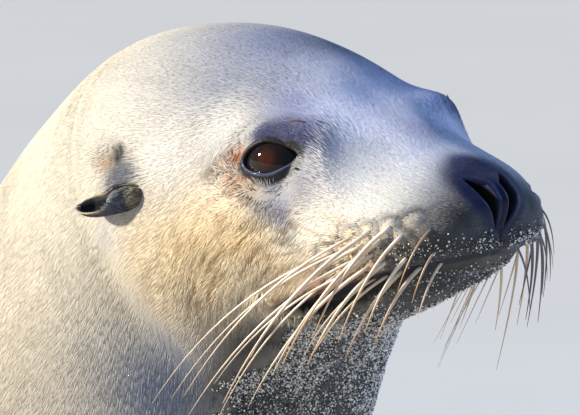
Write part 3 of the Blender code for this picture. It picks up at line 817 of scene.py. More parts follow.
def select_only(obj):
    bpy.ops.object.select_all(action="DESELECT")
    obj.select_set(True)
    bpy.context.view_layer.objects.active = obj


def united(name, surfaces):
    """One closed mesh of several closed surfaces that run into each other."""
    whole, *others = (
        new_object(new_mesh(name, surface.points, outward(surface.points, surface.faces)))
        for surface in surfaces)
    for other in others:
        joint = whole.modifiers.new("union", "BOOLEAN")
        joint.operation, joint.solver, joint.object = "UNION", "EXACT", other
        select_only(whole)
        bpy.ops.object.modifier_apply(modifier=joint.name)
        bpy.data.objects.remove(other)
    return whole


def gathered(surfaces):
    """What the points of several surfaces know, one surface after the other."""
    return {name: np.concatenate([surface.known[name] for surface in surfaces])
            for name in surfaces[0].known}


def joined(surfaces):
    """Several surfaces as one, without a union."""
    faces, start = [], 0
    for surface in surfaces:
        turned = outward(surface.points, surface.faces)
        faces += [tuple(start + i for i in face) for face in turned]
        start += len(surface.points)
    points = np.vstack([surface.points for surface in surfaces])
    return Surface(points, faces, **gathered(surfaces))


def points_of(mesh):
    found = np.empty(len(mesh.vertices) * 3, np.float32)
    mesh.vertices.foreach_get("co", found)
    return found.reshape(-1, 3).astype(float)


def edges_of(mesh):
    found = np.empty(len(mesh.edges) * 2, np.int32)
    mesh.edges.foreach_get("vertices", found)
    return found.reshape(-1, 2)


def relax(values, edges, weight, rounds):
    """Draws each value towards the middle of its neighbours', by its weight."""
    close = (weight[edges[:, 0]] > 0) | (weight[edges[:, 1]] > 0)
    near = edges[close]
    ids = np.unique(near)
    renumber = np.full(len(values), -1)
    renumber[ids] = np.arange(len(ids))
    a, b = renumber[near].T
    local, share = values[ids].copy(), weight[ids]
    number = np.bincount(a, minlength=len(ids)) + np.bincount(b, minlength=len(ids))
    for _ in range(rounds):
        total = np.stack([
            np.bincount(a, local[b, j], len(ids)) + np.bincount(b, local[a, j], len(ids))
            for j in range(local.shape[1])], axis=1)
        local += (total / number[:, None] - local) * share[:, None]
    values = values.copy()
    values[ids] = local
    return values


def nearest(points, others):
    """The index of the nearest other point to each point, and how far it is."""
    tree = KDTree(len(others))
    for i, place in enumerate(others):
        tree.insert(place, i)
    tree.balance()
    found = [tree.find(p)[1:] for p in points.tolist()]
    return np.array([f[0] for f in found]), np.array([f[1] for f in found])


LAYERS = {"FLOAT": (1, "value"), "FLOAT_VECTOR": (3, "vector"), "FLOAT_COLOR": (4, "color")}


def write(mesh, name, values):
    """Keeps a number, a vector or a colour for each point of the mesh."""
    values = np.asarray(values, np.float32)
    width = values.shape[1] if values.ndim > 1 else 1
    kind, slot = next((kind, slot) for kind, (size, slot) in LAYERS.items() if size == width)
    layer = mesh.attributes.get(name) or mesh.attributes.new(name, kind, "POINT")
    layer.data.foreach_set(slot, values.ravel())


def paint(mesh, colours):
    """Keeps the colours, painted shade among them, with an alpha of 1."""
    colours = np.reshape(colours, (-1, 3))
    write(mesh, "markings", np.column_stack([colours, np.ones(len(colours))]))


def shade(mesh, smooth):
    mesh.polygons.foreach_set("use_smooth", np.full(len(mesh.polygons), smooth))


def read(mesh, name):
    layer = mesh.attributes[name]
    width, slot = LAYERS[layer.data_type]
    found = np.empty(len(mesh.vertices) * width, np.float32)
    layer.data.foreach_get(slot, found)
    return found.reshape(-1, width).astype(float)


def straight_skin(inset):
    """The skin of the straight animal as one closed mesh, and what its points know."""
    body = body_surface(inset)
    for side, _ in SIDES:
        body = open_eye(body, side)
    body.known["part"] = np.zeros(len(body.points))
    fore = [limb_surface(FORE, side, LIMB_COLUMNS, 1) for side, _ in SIDES]
    heels = [limb_surface(HEEL, side, LIMB_COLUMNS, 2) for side, _ in SIDES]
    hind = [limb_surface(HIND, side, TOE_COLUMNS, 3, toes=True) for side, _ in SIDES]
    whole = united("skin", [body, joined(fore), joined(heels), joined(hind)])
    mesh = whole.data
    sources = [body] + fore + [heels[0], hind[0], heels[1], hind[1]]
    points = points_of(mesh)
    source, _ = nearest(points, np.vstack([surface.points for surface in sources]))
    known = {name: values[source] for name, values in gathered(sources).items()}

    edges = edges_of(mesh)
    part = np.minimum(known["part"], 2)
    crease = np.unique(edges[part[edges[:, 0]] != part[edges[:, 1]]])
    close = np.flatnonzero((known["place"] > HEAD_END) | (part > 0))
    _, away = nearest(points[close], points[crease])
    weight = np.zeros(len(points))
    weight[close] = CREASE_WEIGHT * smoothstep(CREASE_REACH, CREASE_CORE, away)
    points = relax(points, edges, weight, CREASE_ROUNDS)
    known["lie"] = unit(relax(known["lie"], edges, weight, LIE_ROUNDS))
    return whole, points, known


# ---- colours and painted shade -----------------------------------------------------------------
PALE = (0.68, 0.66, 0.62)
TAN, OCHRE, RUST = (0.58, 0.44, 0.25), (0.40, 0.22, 0.085), (0.42, 0.16, 0.045)
# Slate: the dark of the nose's top, deepened by painted shade.
SLATE_SHADE, SHADE = (0.036, 0.040, 0.105), (0.155, 0.165, 0.245)
# The wet rim under the eye is painted bluish: a painted reflection of the sky on wet skin.
BLACK_SKIN, LID_SKIN, WET_RIM_REFLECTION = (0.004, 0.006, 0.036), (0.012, 0.011, 0.013), (0.07, 0.08, 0.14)
# The hollow colour is painted shade, deep in the nostrils and the ears.
LIP_SKIN, HOLLOW_SHADE = (0.010, 0.008, 0.008), (0.001, 0.001, 0.001)
# Blue-grey is painted shade.
BLUE_GREY_SHADE, WET_FUR = (0.27, 0.31, 0.41), (0.018, 0.015, 0.015)
EAR_GREY, EAR_TAN, EAR_LINING = (0.075, 0.083, 0.115), (0.28, 0.25, 0.17), (0.10, 0.10, 0.105)
# The throat's blue and the umber under the jaw are painted shade.
THROAT_SHADE, UMBER_SHADE = (0.11, 0.145, 0.225), (0.050, 0.036, 0.025)
# Navy and dusk are painted shade: over the eye, on the brow and on top of the muzzle.
NAVY_SHADE = (0.020, 0.023, 0.085)
DUSK_SHADE, STRAW = (0.11, 0.125, 0.27), (0.92, 0.76, 0.50)
CHEEK, CHEEK_SLANT = (68, 125, -30), math.radians(34)

# Patches on the head: colours of the coat, and painted shade and sky light where noted.
MARKS_AND_SHADES = (
    # aside, behind, above, radius, colour and strength
    (0, 130, 64, 49, "crown", 0.95),  # crown: painted shade and blue sky reflection
    (34, 104, 46, 22, "crown", 0.60),
    (46, 130, 42, 15, "crown", 0.45),
    (0, 84, 44, 29, "forehead", 0.9),  # forehead: silver fur painted blue for the sky light in its shade
    (36, 84, 38, 16, "forehead", 0.9),  # front of the brow: painted blue sky light in shade
    (0, 56, 30, 30, "forehead", 0.85),  # top of the muzzle: painted blue sky light in shade
    (22, 70, 31, 12, "forehead", 0.75),
    # painted shade on top of the muzzle
    (4, 48, 24, 17, DUSK_SHADE, 0.32),
    # the top of the nose: its own dark, deepened by painted shade
    (2, 11, 12, 10.5, SLATE_SHADE, 1.40),
    (0, 18, 13, 9, SLATE_SHADE, 2.20),
    (12, 13, 11, 8.5, SLATE_SHADE, 0.85),
    (46, 54, -2, 20, PALE, 0.95),  # side of the muzzle
    (38, 34, -2, 13, PALE, 0.55),
    # painted shade on the muzzle before the eye
    (31, 53, 16, 15, BLUE_GREY_SHADE, 0.55),
    (42, 55, 5, 14, BLUE_GREY_SHADE, 0.30),
    (48, 73, 6, 9.5, SHADE, 0.80),
    (20, 4, -4, 14.5, "muzzle", 0.97),  # round the nose
    (10, 3, -20, 15, "muzzle", 0.97),
    (30, 12, -16, 13, "muzzle", 0.90),
    (36, 26, -26, 10, "muzzle", 0.40),
    (45, 36, -18, 13, PALE, 0.50),
    (46, 52, -24, 16, "cheek", 0.65),  # rear of the whisker pad
    (48, 60, -27, 14, PALE, 0.85),
    (66, 122, -26, 40, "cheek", 0.85),  # cheek
    (53, 84, -22, 13, STRAW, 0.85),
    (49, 70, -33, 8, OCHRE, 0.70),  # over the mouth's corner
    (54, 86, -38, 9, OCHRE, 0.50),
    (69, 142, -48, 22, TAN, 0.45),
    (56, 114, 32, 15, PALE, 0.95),  # back of the brow
    (68, 142, 16, 16, PALE, 0.80),
    (33, 93, 39, 12, DUSK_SHADE, 0.65),  # between brow and eye: painted shade
    (49, 86, 32, 10, DUSK_SHADE, 0.95),
    (42, 73, 28, 9, DUSK_SHADE, 0.90),
    (51, 95, 26, 7.5, NAVY_SHADE, 1.4),
    (48, 85, 26, 8.5, NAVY_SHADE, 1.4),
    (44, 75, 24, 7, NAVY_SHADE, 0.95),
    (54, 88, 0, 9, BLUE_GREY_SHADE, 0.60),  # under the eye: painted shade
    (54, 90, 1, 8, SHADE, 0.25),
    (60, 101, -16, 12, "cheek", 0.60),
    (52, 79, -15, 8, PALE, 0.75),
    (53, 83, -5, 6.5, SHADE, 0.75),
    (56, 108, 17, 5.4, RUST, 1.0),  # behind the eye
    (57, 105, 8, 4.5, RUST, 0.85),
    (57, 99, 3, 2.6, OCHRE, 0.75),
    (58, 106, -42, 15, STRAW, 0.95),
    (75, 165, 6.0, 9, EAR_GREY, 1.6),  # over the ear: damp fur, deepened by painted shade
    (74, 177, 12, 3.4, OCHRE, 0.90),
    # the pit over the ear: painted shade in its hollow
    (71, 172, 15.2, 4.4, "muzzle", 1.8),
    # painted shade under the ear
    (78, 172, -18, 7, BLUE_GREY_SHADE, 0.40),
    (10, 50, -58, 34, WET_FUR, 0.85),  # chin
    (20, 92, -80, 34, WET_FUR, 0.6),  # throat
    (62, 160, -86, 34, THROAT_SHADE, 0.97),  # side of the throat: painted shade
    (60, 215, -140, 56, THROAT_SHADE, 0.80),
    (14, 24, -40, 24, WET_FUR, 1.20),
    (26, 38, -42, 17, UMBER_SHADE, 0.80),
    (92, 225, -75, 60, TAN, 0.22),  # side of the neck
    # painted shade on the neck below the cheek
    (86, 190, -62, 42, THROAT_SHADE, 0.18),
    # painted shadow under the cheek's lower edge
    (42, 108, -66, 14, UMBER_SHADE, 0.90),
    (47, 120, -70, 13, UMBER_SHADE, 0.95),
    (48, 130, -88, 18, UMBER_SHADE, 0.90),
)


def hue(colour):
    """A colour, or the one that the setting it names holds."""
    return np.array(getattr(settings(), colour) if isinstance(colour, str) else colour)


def mixed(colour, other, share):
    return colour + (hue(other) - colour) * np.clip(share, 0, 1)[:, None]


def markings(points, known):
    """The colour of skin and coat, painted shade included, and how bare the skin is, at points of
    the straight animal.
    """
    mm = in_head(points)
    near = folded(mm)
    a, b, c = near.T
    belly = smoothstep(math.radians(70), math.radians(130), np.abs(known["turn"]))
    colour = mixed(np.tile(hue("back"), (len(points), 1)), "underside", belly)
    neck = smoothstep(7, 11, known["place"]) * smoothstep(19, 13, known["place"])
    colour = mixed(colour, "underside", 0.75 * neck)
    head = (known["part"] == 0) & (b < 330)
    for *middle, radius, tint, strength in MARKS_AND_SHADES:
        share = head * strength * bell(distance(near, middle), radius)
        colour = mixed(colour, tint, share)

    mound, crease = whisker_mounds(mm)
    dark = smoothstep(40, 10, b)
    colour = mixed(colour, "cheek", head * 0.75 * mound * (1 - 0.8 * dark))
    # the creases between the whisker mounds: painted shade
    colour = mixed(colour, "muzzle", head * crease * (0.55 + 0.4 * dark))
    lip, gap = c - mouth_line(b), mouth_gap(b)
    shut = head * smoothstep(MOUTH_CORNER[0] + 6, MOUTH_CORNER[0] - 4, b)
    colour = mixed(colour, RUST, 0.85 * shut * bell(lip - 1.8, 2.6) * smoothstep(24, 48, b))

    nose = nose_distance(a, c)
    colour = mixed(colour, BLACK_SKIN, head * smoothstep(0.55, -0.1, nose) * smoothstep(29, 13, b))
    pad = head * smoothstep(0.10, -0.10, nose) * smoothstep(20, 12, b)
    # the nostrils' hollows are painted near black: painted shade
    hollow_shade = head * smoothstep(0.7, -0.3, nostril_distance(a, c)) * smoothstep(30, 24, b)
    colour, bare = mixed(colour, HOLLOW_SHADE, hollow_shade), np.maximum(pad, hollow_shade)
    wet = 0.12 * pad * (1 - hollow_shade)
    below = shut * smoothstep(-gap - 1.2, -gap + 0.2, lip) * smoothstep(1.4, 0.4, lip)
    colour, bare = mixed(colour, LIP_SKIN, below), np.maximum(bare, below)
    wet = np.maximum(wet, 0.12 * below)
    for side, _ in SIDES:
        x, y, z, edge = in_eye(points, side)
        wide = 2.5 + 2.4 * smoothstep(2.5, -3.5, y) + 3.2 * smoothstep(8, 15, x)
        wedge = smoothstep(24, 17, x) * smoothstep(10, 13, x) * smoothstep(1.9, 0.9, np.abs(y - 1))
        lid = np.maximum(smoothstep(wide + 0.6, wide - 0.4, edge), 0.9 * wedge) * head * (z > 0)
        # the wet rim of the lower lid, painted bluish as a painted reflection of the sky
        rim = lid * smoothstep(1.9, 1.2, edge) * smoothstep(2, -2, y)
        colour = mixed(mixed(colour, LID_SKIN, lid), WET_RIM_REFLECTION, rim)
        bare, wet = np.maximum(bare, lid), np.maximum(wet, np.maximum(0.05 * lid, rim))
    fore = (known["part"] == 1) * smoothstep(FORE_WRIST - 0.9, FORE_WRIST + 0.1, known["place"])
    hind = (known["part"] == 3) * smoothstep(0.2, 1.4, known["place"])
    flipper = np.maximum(fore, hind)
    colour, bare = mixed(colour, "flippers", flipper), np.maximum(bare, flipper)
    wet = wet * (1 - hollow_shade) - hollow_shade
    sand = sanded(mm) * (known["part"] == 0) * (1 - bare)
    colour = mixed(colour, WET_FUR, 0.92 * smoothstep(0, 0.6, sand))
    return colour, bare, wet, sand


def sanded(mm):
    """How thickly sand clings to places on the head: on chin and throat, and a little under the
    nose."""
    b, c = mm[:, 1], mm[:, 2]
    lip = c - mouth_line(b)
    edge = SAND_EDGE[0] + SAND_EDGE[1] * (MOUTH_CORNER[1] - c)
    edge = edge + 30 * smoothstep(-38, -22, mm[:, 0]) - b
    ragged = 10 * np.sin(0.13 * c + 1.0) * np.sin(0.11 * b) + 5 * np.sin(0.45 * c + 0.3 * b)
    ragged = ragged + 16 * (value_noise(b / 3.5, c / 3.5, 5) - 0.5)
    chin = smoothstep(0, 9, edge + ragged) * smoothstep(0.5, -1.5, lip + mouth_gap(b))
    islands = 60 * (value_noise(mm[:, 0] / 15, (b - c) / 22, 9) - 0.5)
    islands = islands + 20 * (value_noise(mm[:, 0] / 4, (b - c) / 5, 4) - 0.5)
    chin = chin * smoothstep(SAND_END - 55, SAND_END + 5, c + islands)
    chin = chin * (0.17 + 0.83 * smoothstep(-46, -66, c))
    below_nose = 0.42 * smoothstep(52, 20, b) * smoothstep(-10, -19, c) * smoothstep(-2, 1, lip)
    return np.clip(np.maximum(chin, below_nose), 0, 1)


def ruffled(mm, known):
    """How far the coat breaks up into standing locks, from 0 where it lies sleek to 1."""
    calm = 0.05 + 0.10 * smoothstep(9, 14, known["place"])
    for *middle, radius in RUFFLES:
        calm = np.maximum(calm, bell(distance(folded(mm), middle), radius))
    return calm


def slanted(points, known):
    """The coat's lie and its streams, turned down from straight back on the cheeks."""
    mm = in_head(points)
    b, c = mm[:, 1], mm[:, 2]
    slant = CHEEK_SLANT * smoothstep(55, 100, b) * smoothstep(215, 160, b) * smoothstep(26, -12, c)
    slant = slant * (known["part"] == 0)
    lie = known["lie"]
    down = unit((0, 0, -1) + lie * lie[:, 2:])
    cos, sin = np.cos(slant), np.sin(slant)
    lie = lie * cos[:, None] + down * sin[:, None]
    cheek = np.argmin(distance(mm, CHEEK))
    below = np.abs(known["stream"])
    run, below = known["run"] - known["run"][cheek], below - below[cheek]
    return lie, run * cos + below * sin, np.sign(known["stream"]) * (below * cos - run * sin)


# ---- materials ---------------------------------------------------------------------------------
class Look:
    """A node-based material being put together."""

    def __init__(self, name, **constants):
        self.material = bpy.data.materials.new(name)
        self.material.use_nodes = True
        self.tree = self.material.node_tree
        self.finish(**constants)
        self.place = self.node("TexCoord", "Object")

    def feed(self, node, values):
        """Sets inputs to numbers and colours, or links them to the outputs of other nodes."""
        for socket, value in values.items():
            if isinstance(value, (int, float, tuple)):
                node.inputs[socket].default_value = value
            else:
                self.tree.links.new(value, node.inputs[socket])

    def finish(self, **values):
        """Feeds the shader, and gives the material."""
        shader = self.tree.nodes["Principled BSDF"]
        self.feed(shader, {name.replace("_", " "): value for name, value in values.items()})
        return self.material

    def node(self, kind, output, values=(), **settings):
        """The output of a new node."""
        made = self.tree.nodes.new("ShaderNode" + kind)
        for name, value in settings.items():
            setattr(made, name, value)
        self.feed(made, dict(values))
        return made.outputs[output]

    def attribute(self, name, output="Fac"):
        return self.node("Attribute", output, attribute_name=name)

    def noise(self, vector, scale, detail=3.0, rough=0.5, stretch=(1, 1, 1)):
        """A cloudy pattern from 0 to 1, with its vector stretched."""
        vector = self.node("Mapping", "Vector", {"Vector": vector, "Scale": stretch})
        return self.node("TexNoise", "Fac", {
            "Vector": vector, "Scale": scale, "Detail": detail, "Roughness": rough})

    def span(self, value, low, high, new_low, new_high):
        """The value carried over from one range to another, held at its ends."""
        return self.node("MapRange", "Result", {
            "Value": value, "From Min": low, "From Max": high, "To Min": new_low,
            "To Max": new_high})

    def swing(self, noise, low, high):
        """A noise carried over from the range that it fills to another."""
        return self.span(noise, 0.3, 0.7, low, high)

    def maths(self, operation, first, second):
        return self.node("Math", "Value", {0: first, 1: second}, operation=operation)

    def shaded(self, colour, value):
        """A colour made lighter or darker by a value."""
        return self.node("VectorMath", "Vector", {0: colour, "Scale": value}, operation="SCALE")

    def mix(self, share, first, second, kind="RGBA"):
        return self.node("Mix", "Result", {"Factor": share, "A": first, "B": second},
                         data_type=kind)

    def bump(self, height, strength, distance, **under):
        return self.node("Bump", "Normal", {
            "Height": height, "Strength": strength, "Distance": distance, **under})


def skin_look():
    look = Look("sea_lion_skin", Specular_IOR_Level=0.30, Sheen_Weight=0.04, Sheen_Roughness=0.4)
    bare, wet, sand = (look.attribute(name) for name in ("bare", "wet", "sand"))
    comb = look.attribute("comb", "Vector")
    hairs = look.noise(comb, 1.0, 3.0, 0.6, (0.16, 2.2, 1))
    locks = look.noise(comb, 1.0, 2.0, 0.5, (0.05, 0.5, 1))
    clouds = look.noise(look.place, 28.0, 4.0)
    wrinkles = look.noise(look.place, 160.0, 4.0, 0.6, (1, 1, 1.6))
    grit = look.noise(look.place, 1400.0, 1.0)
    pores = look.node("TexVoronoi", "Distance", {"Vector": look.place, "Scale": 900.0})
    fur = look.maths("MULTIPLY", look.swing(hairs, 0.84, 1.10), look.swing(locks, 0.92, 1.06))
    tone = look.mix(bare, fur, look.swing(wrinkles, 0.75, 1.35), "FLOAT")
    tone = look.maths("MULTIPLY", tone, look.swing(clouds, 0.88, 1.10))
    gritty = look.maths("MULTIPLY", sand, look.span(grit, 0.56, 0.66, 0.0, 1.0))
    marks_and_shade = look.shaded(look.attribute("markings", "Color"), tone)
    rough = look.span(bare, 0, 1, 0.66, 0.45)
    rough = look.maths("ADD", rough, look.swing(wrinkles, -0.06, 0.08))
    rough = look.maths("MULTIPLY", rough, look.span(wet, 0, 1, 1.0, 0.32))
    rough = look.maths("MULTIPLY", rough, look.span(wet, -1, 0, 2.2, 1.0))
    furred, naked = look.span(bare, 0, 1, 0.5, 0.0), look.span(bare, 0, 1, 0.0, 0.4)
    normal = look.bump(hairs, furred, 0.0008)
    for height, strength, distance in (
            (locks, furred, 0.0014), (wrinkles, naked, 0.0008), (pores, naked, 0.0003)):
        normal = look.bump(height, strength, distance, Normal=normal)
    return look.finish(Base_Color=look.mix(gritty, marks_and_shade, (0.26, 0.25, 0.24, 1)),
                       Roughness=rough, Normal=normal)


def coat_look():
    look = Look("sea_lion_coat", Specular_IOR_Level=0.36, Sheen_Weight=0.05, Sheen_Roughness=0.35)
    fine, clouds = look.noise(look.place, 700.0, 2.0), look.noise(look.place, 28.0, 4.0)
    tone = look.maths("MULTIPLY", look.swing(fine, 0.94, 1.05), look.swing(clouds, 0.88, 1.10))
    return look.finish(Base_Color=look.shaded(look.attribute("markings", "Color"), tone),
                       Roughness=look.swing(fine, 0.42, 0.56))


# ---- skin --------------------------------------------------------------------------------------
FLESH = ("head", "jaw", "nose", "neck", "chest", "belly", "tail") + tuple(
    f"{part}_{tag}" for part in ("fore_arm", "fore_flipper", "hind_leg", "hind_flipper")
    for _, tag in SIDES)


def settle(obj, look, slot, *nodes):
    """A finished piece: its material, the body it rides on and the nodes it stands for."""
    obj.data.materials.clear()
    obj.data.materials.append(look)
    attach(obj, "root")
    if nodes:
        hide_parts(*nodes)


def make_skin(inset):
    whole, points, known = straight_skin(inset)
    mesh = whole.data
    colour, bare, wet, sand = markings(points, known)
    mesh.vertices.foreach_set("co", stance(points).astype(np.float32).ravel())
    mesh.update()
    paint(mesh, colour)
    lie, run, stream = slanted(points, known)
    for name, values in (
            ("bare", bare), ("wet", wet), ("sand", sand),
            ("ruffle", ruffled(in_head(points), known)),
            ("comb", np.column_stack([run, stream, 40 * known["part"]])),
            ("lie", stance_of(points, lie)), ("straight", points),
            ("unwrap", np.column_stack([known["place"], known["turn"], known["part"]]))):
        write(mesh, name, values)
    shade(mesh, True)
    settle(whole, skin_look(), "coat", *FLESH)


# ---- coat --------------------------------------------------------------------------------------
# A kind of tuft: how long, wide and high it is at its middle, how far its tip stands off the
# skin, in millimetres, and how much skin each covers, in square millimetres.
Tuft = namedtuple("Tuft", "length width ridge lift area")
FACE_TUFT = Tuft(6.2, 0.66, 0.09, 0.10, 0.72)
HEAD_TUFT = Tuft(8.0, 0.85, 0.09, 0.10, 1.15)
BODY_TUFT = Tuft(16.0, 2.15, 0.28, 0.40, 13.6)
LIMB_TUFT = Tuft(8.5, 1.6, 0.42, 0.6, 8.8)
EAR_TUFT = Tuft(3.4, 0.42, 0.10, 0.12, 0.40)
MUZZLE_SHARE = 0.55  # tufts at the nose's edge are this much of the face's size
EAR_PIT = (71, 172.5, 15)  # a small pit in the coat over the ear
SHADES = np.array((-0.16, -0.08, 0.04, -0.08, 0.10))  # painted shade at a tuft's root and sides, painted light on its ridge and tip
DAMP_AND_SHADE_TINT = np.array((0.62, 0.48, 0.36))  # what the damp hair between standing locks keeps: wet hair, deepened by painted shade
SPINDLE = (0, 3, 2, 0, 2, 1, 3, 4, 2, 4, 1, 2, 0, 1, 4, 3)
SPINDLE_SIZES = (3, 3, 3, 3, 4)
PATCH = 0.003  # how far a tuft or grain spreads round its root's place on the unwrapped skin
COATS = (
    # name, lowest and highest station, and whether left and right are pieces of their own
    ("muzzle", 0, 5.2, False),
    ("face", 5.2, 7.2, True),
    ("cheek", 7.2, 8.7, True),
    ("nape", 8.7, 10.4, True),
    ("neck", 10.4, NECK_CUT, True),
    ("throat", NECK_CUT, CHEST_CUT, False),
    ("chest", CHEST_CUT, BELLY_CUT, False),
    ("belly", BELLY_CUT, 19.0, False),
    ("rump", 19.0, LAST + 1, False),
    ("limbs", -1, 100, False),
)
TUFT_STREAM, TUFT_RUN = 1.15, 7.0  # millimetres across and along a streak of the coat
FLOOR_CLEAR = 0.004  # tufts start this far above the floor
BEND_LIMIT = 140.0  # the sharpest bend that tufts follow, as one over metres
BEND_SHARE, BEND_ROUNDS = 0.5, 3  # how far the bend is evened out over the skin
NAPE_FROM, NAPE_TO, NAPE_ROUNDS = (8.2, 9.0), (12.5, 11.5), 40  # and further over the nape
EAR_SEED = 77


def tuft_at(place, part, behind):
    """The kind of tuft at each place, as one row of numbers each."""
    face, head, body, limb = (np.array(t) for t in (FACE_TUFT, HEAD_TUFT, BODY_TUFT, LIMB_TUFT))
    kind = face + (head - face) * smoothstep(7.0, 9.5, place)[:, None]
    kind = kind + (body - kind) * smoothstep(11.2, 14.8, place)[:, None]
    small = MUZZLE_SHARE + (1 - MUZZLE_SHARE) * smoothstep(10, 75, behind)[:, None]
    kind = kind * np.where(place[:, None] < 7, small, 1) ** np.array((1, 1, 1, 1, 0.5))
    tail = 1 - 0.45 * smoothstep(20, 24, place)[:, None]
    return np.where(part[:, None] > 0, limb, kind * np.where(place[:, None] > 19, tail, 1))


def triangles_of(mesh):
    mesh.calc_loop_triangles()
    found = np.empty(len(mesh.loop_triangles) * 3, np.int32)
    mesh.loop_triangles.foreach_get("vertices", found)
    return found.reshape(-1, 3)


def vertex_normals(points, corners):
    a, b, c = (points[corners[:, i]] for i in range(3))
    flat = np.cross(b - a, c - a)
    total = np.zeros_like(points)
    for i in range(3):
        for j in range(3):
            total[:, j] += np.bincount(corners[:, i], flat[:, j], len(points))
    return unit(total)


def repeated_mesh(name, points, corners, sizes, tints, spots):
    """A mesh of many copies of one small shape. points and tints hold copies, vertices and
    numbers, corners the shape's faces one after the other, sizes how many corners each face
    has, and spots each copy's place on the unwrapped skin."""
    copies, vertices = points.shape[:2]
    count = np.arange(copies)[:, None]
    corners, starts = np.array(corners), np.cumsum((0,) + sizes[:-1])
    mesh = bpy.data.meshes.new(name)
    mesh.vertices.add(copies * vertices)
    mesh.loops.add(copies * len(corners))
    mesh.polygons.add(copies * len(sizes))
    mesh.vertices.foreach_set("co", points.astype(np.float32).ravel())
    index = (count * vertices + corners).astype(np.int32).ravel()
    mesh.loops.foreach_set("vertex_index", index)
    mesh.polygons.foreach_set(
        "loop_start", (count * len(corners) + starts).astype(np.int32).ravel())
    shade(mesh, True)
    mesh.update(calc_edges=True)
    paint(mesh, tints)
    across = points - points[:, :1]
    reach = np.abs(across).max(axis=(1, 2), keepdims=True)
    uv = (spots[:, None] + across[:, :, :2] / reach * PATCH / 2).reshape(-1, 2)
    layer = mesh.uv_layers.new(name="OFBake")
    layer.data.foreach_set("uv", uv[index].astype(np.float32).ravel())
    return mesh


class Ground:
    """The skin as what grows on it reads it: its triangles, and what its points know."""

    def __init__(self, mesh):
        self.corners, self.points = triangles_of(mesh), points_of(mesh)
        self.normal = vertex_normals(self.points, self.corners)
        for name in ("lie", "unwrap", "markings", "comb", "straight", "bare", "sand", "ruffle"):
            setattr(self, name, read(mesh, name))
        a, b, c = (self.points[self.corners[:, i]] for i in range(3))
        self.area = np.linalg.norm(np.cross(b - a, c - a), axis=1) / 2 * 1e6
        self.place, self.part = self.unwrap[:, 0], self.unwrap[:, 2]
        self.mm = in_head(self.straight)
        self.lid = np.maximum(distance(folded(self.mm), EAR_PIT) - 2.5, 0.3)
        for side, _ in SIDES:
            _, _, z, edge = in_eye(self.straight, side)
            self.lid = np.minimum(self.lid, np.where(z > 0, edge, 99))
        self.bend = self.bending(edges_of(mesh))

    def bending(self, edges):
        """How sharply the skin curves away along the coat's lie, as one over metres."""
        first, second = edges.T
        step = self.points[second] - self.points[first]
        length = np.maximum(np.sum(step ** 2, axis=1), 1e-12)
        curve = np.sum((self.normal[second] - self.normal[first]) * step, axis=1) / length
        total, weight = np.zeros(len(self.points)), np.full(len(self.points), 1e-6)
        for end in (first, second):
            share = (np.sum(step * self.lie[end], axis=1) ** 2 / length) ** 2
            total += np.bincount(end, curve * share, len(total))
            weight += np.bincount(end, share, len(total))
        curve = np.clip(total / weight, -BEND_LIMIT, BEND_LIMIT)[:, None]
        curve = relax(curve, edges, np.full(len(total), BEND_SHARE), BEND_ROUNDS)
        nape = smoothstep(*NAPE_FROM, self.place) * smoothstep(*NAPE_TO, self.place)
        return relax(curve, edges, BEND_SHARE * nape * (self.part == 0), NAPE_ROUNDS)

    def middle(self, values):
        return values[self.corners].mean(axis=1)

    def scatter(self, share, random):
        """Places on the skin, share of them on each triangle, as a reader of point values."""
        total = np.cumsum(share)
        count = int(total[-1])
        pick = np.searchsorted(
            total, (np.arange(count) + random.random(count)) * total[-1] / count)
        pick = np.minimum(pick, len(self.corners) - 1)
        u, v = random.random(count), random.random(count)
        over = u + v > 1
        u, v = np.where(over, 1 - u, u), np.where(over, 1 - v, v)
        weights = np.stack([1 - u - v, u, v], axis=1)[..., None]
        return count, lambda values: np.sum(
            values.reshape(len(self.points), -1)[self.corners[pick]] * weights, axis=1)

    def spots(self, across):
        """Each place on the unwrapped skin, from 0 to 1 both ways."""
        seat, left = across(self.unwrap), across(self.points)[:, 0] > 0
        around, along = seat[:, 1] / (2 * math.pi) + 0.5, seat[:, 0]
        long = (along - along.min()) / max(np.ptp(along), 1e-6)
        column = np.clip(np.round(seat[:, 2]) - 1, 0, 2) + 3 * left
        around = np.where(seat[:, 2] > 0.5, (around + column) / 6, around)
        return np.stack([around, long], axis=1) * 0.99 + 0.005


def shortened(lid):
    """The length of tufts near an eyelid, as a share of their full length."""
    return smoothstep(0.5, 10, lid) * 0.65 + 0.35


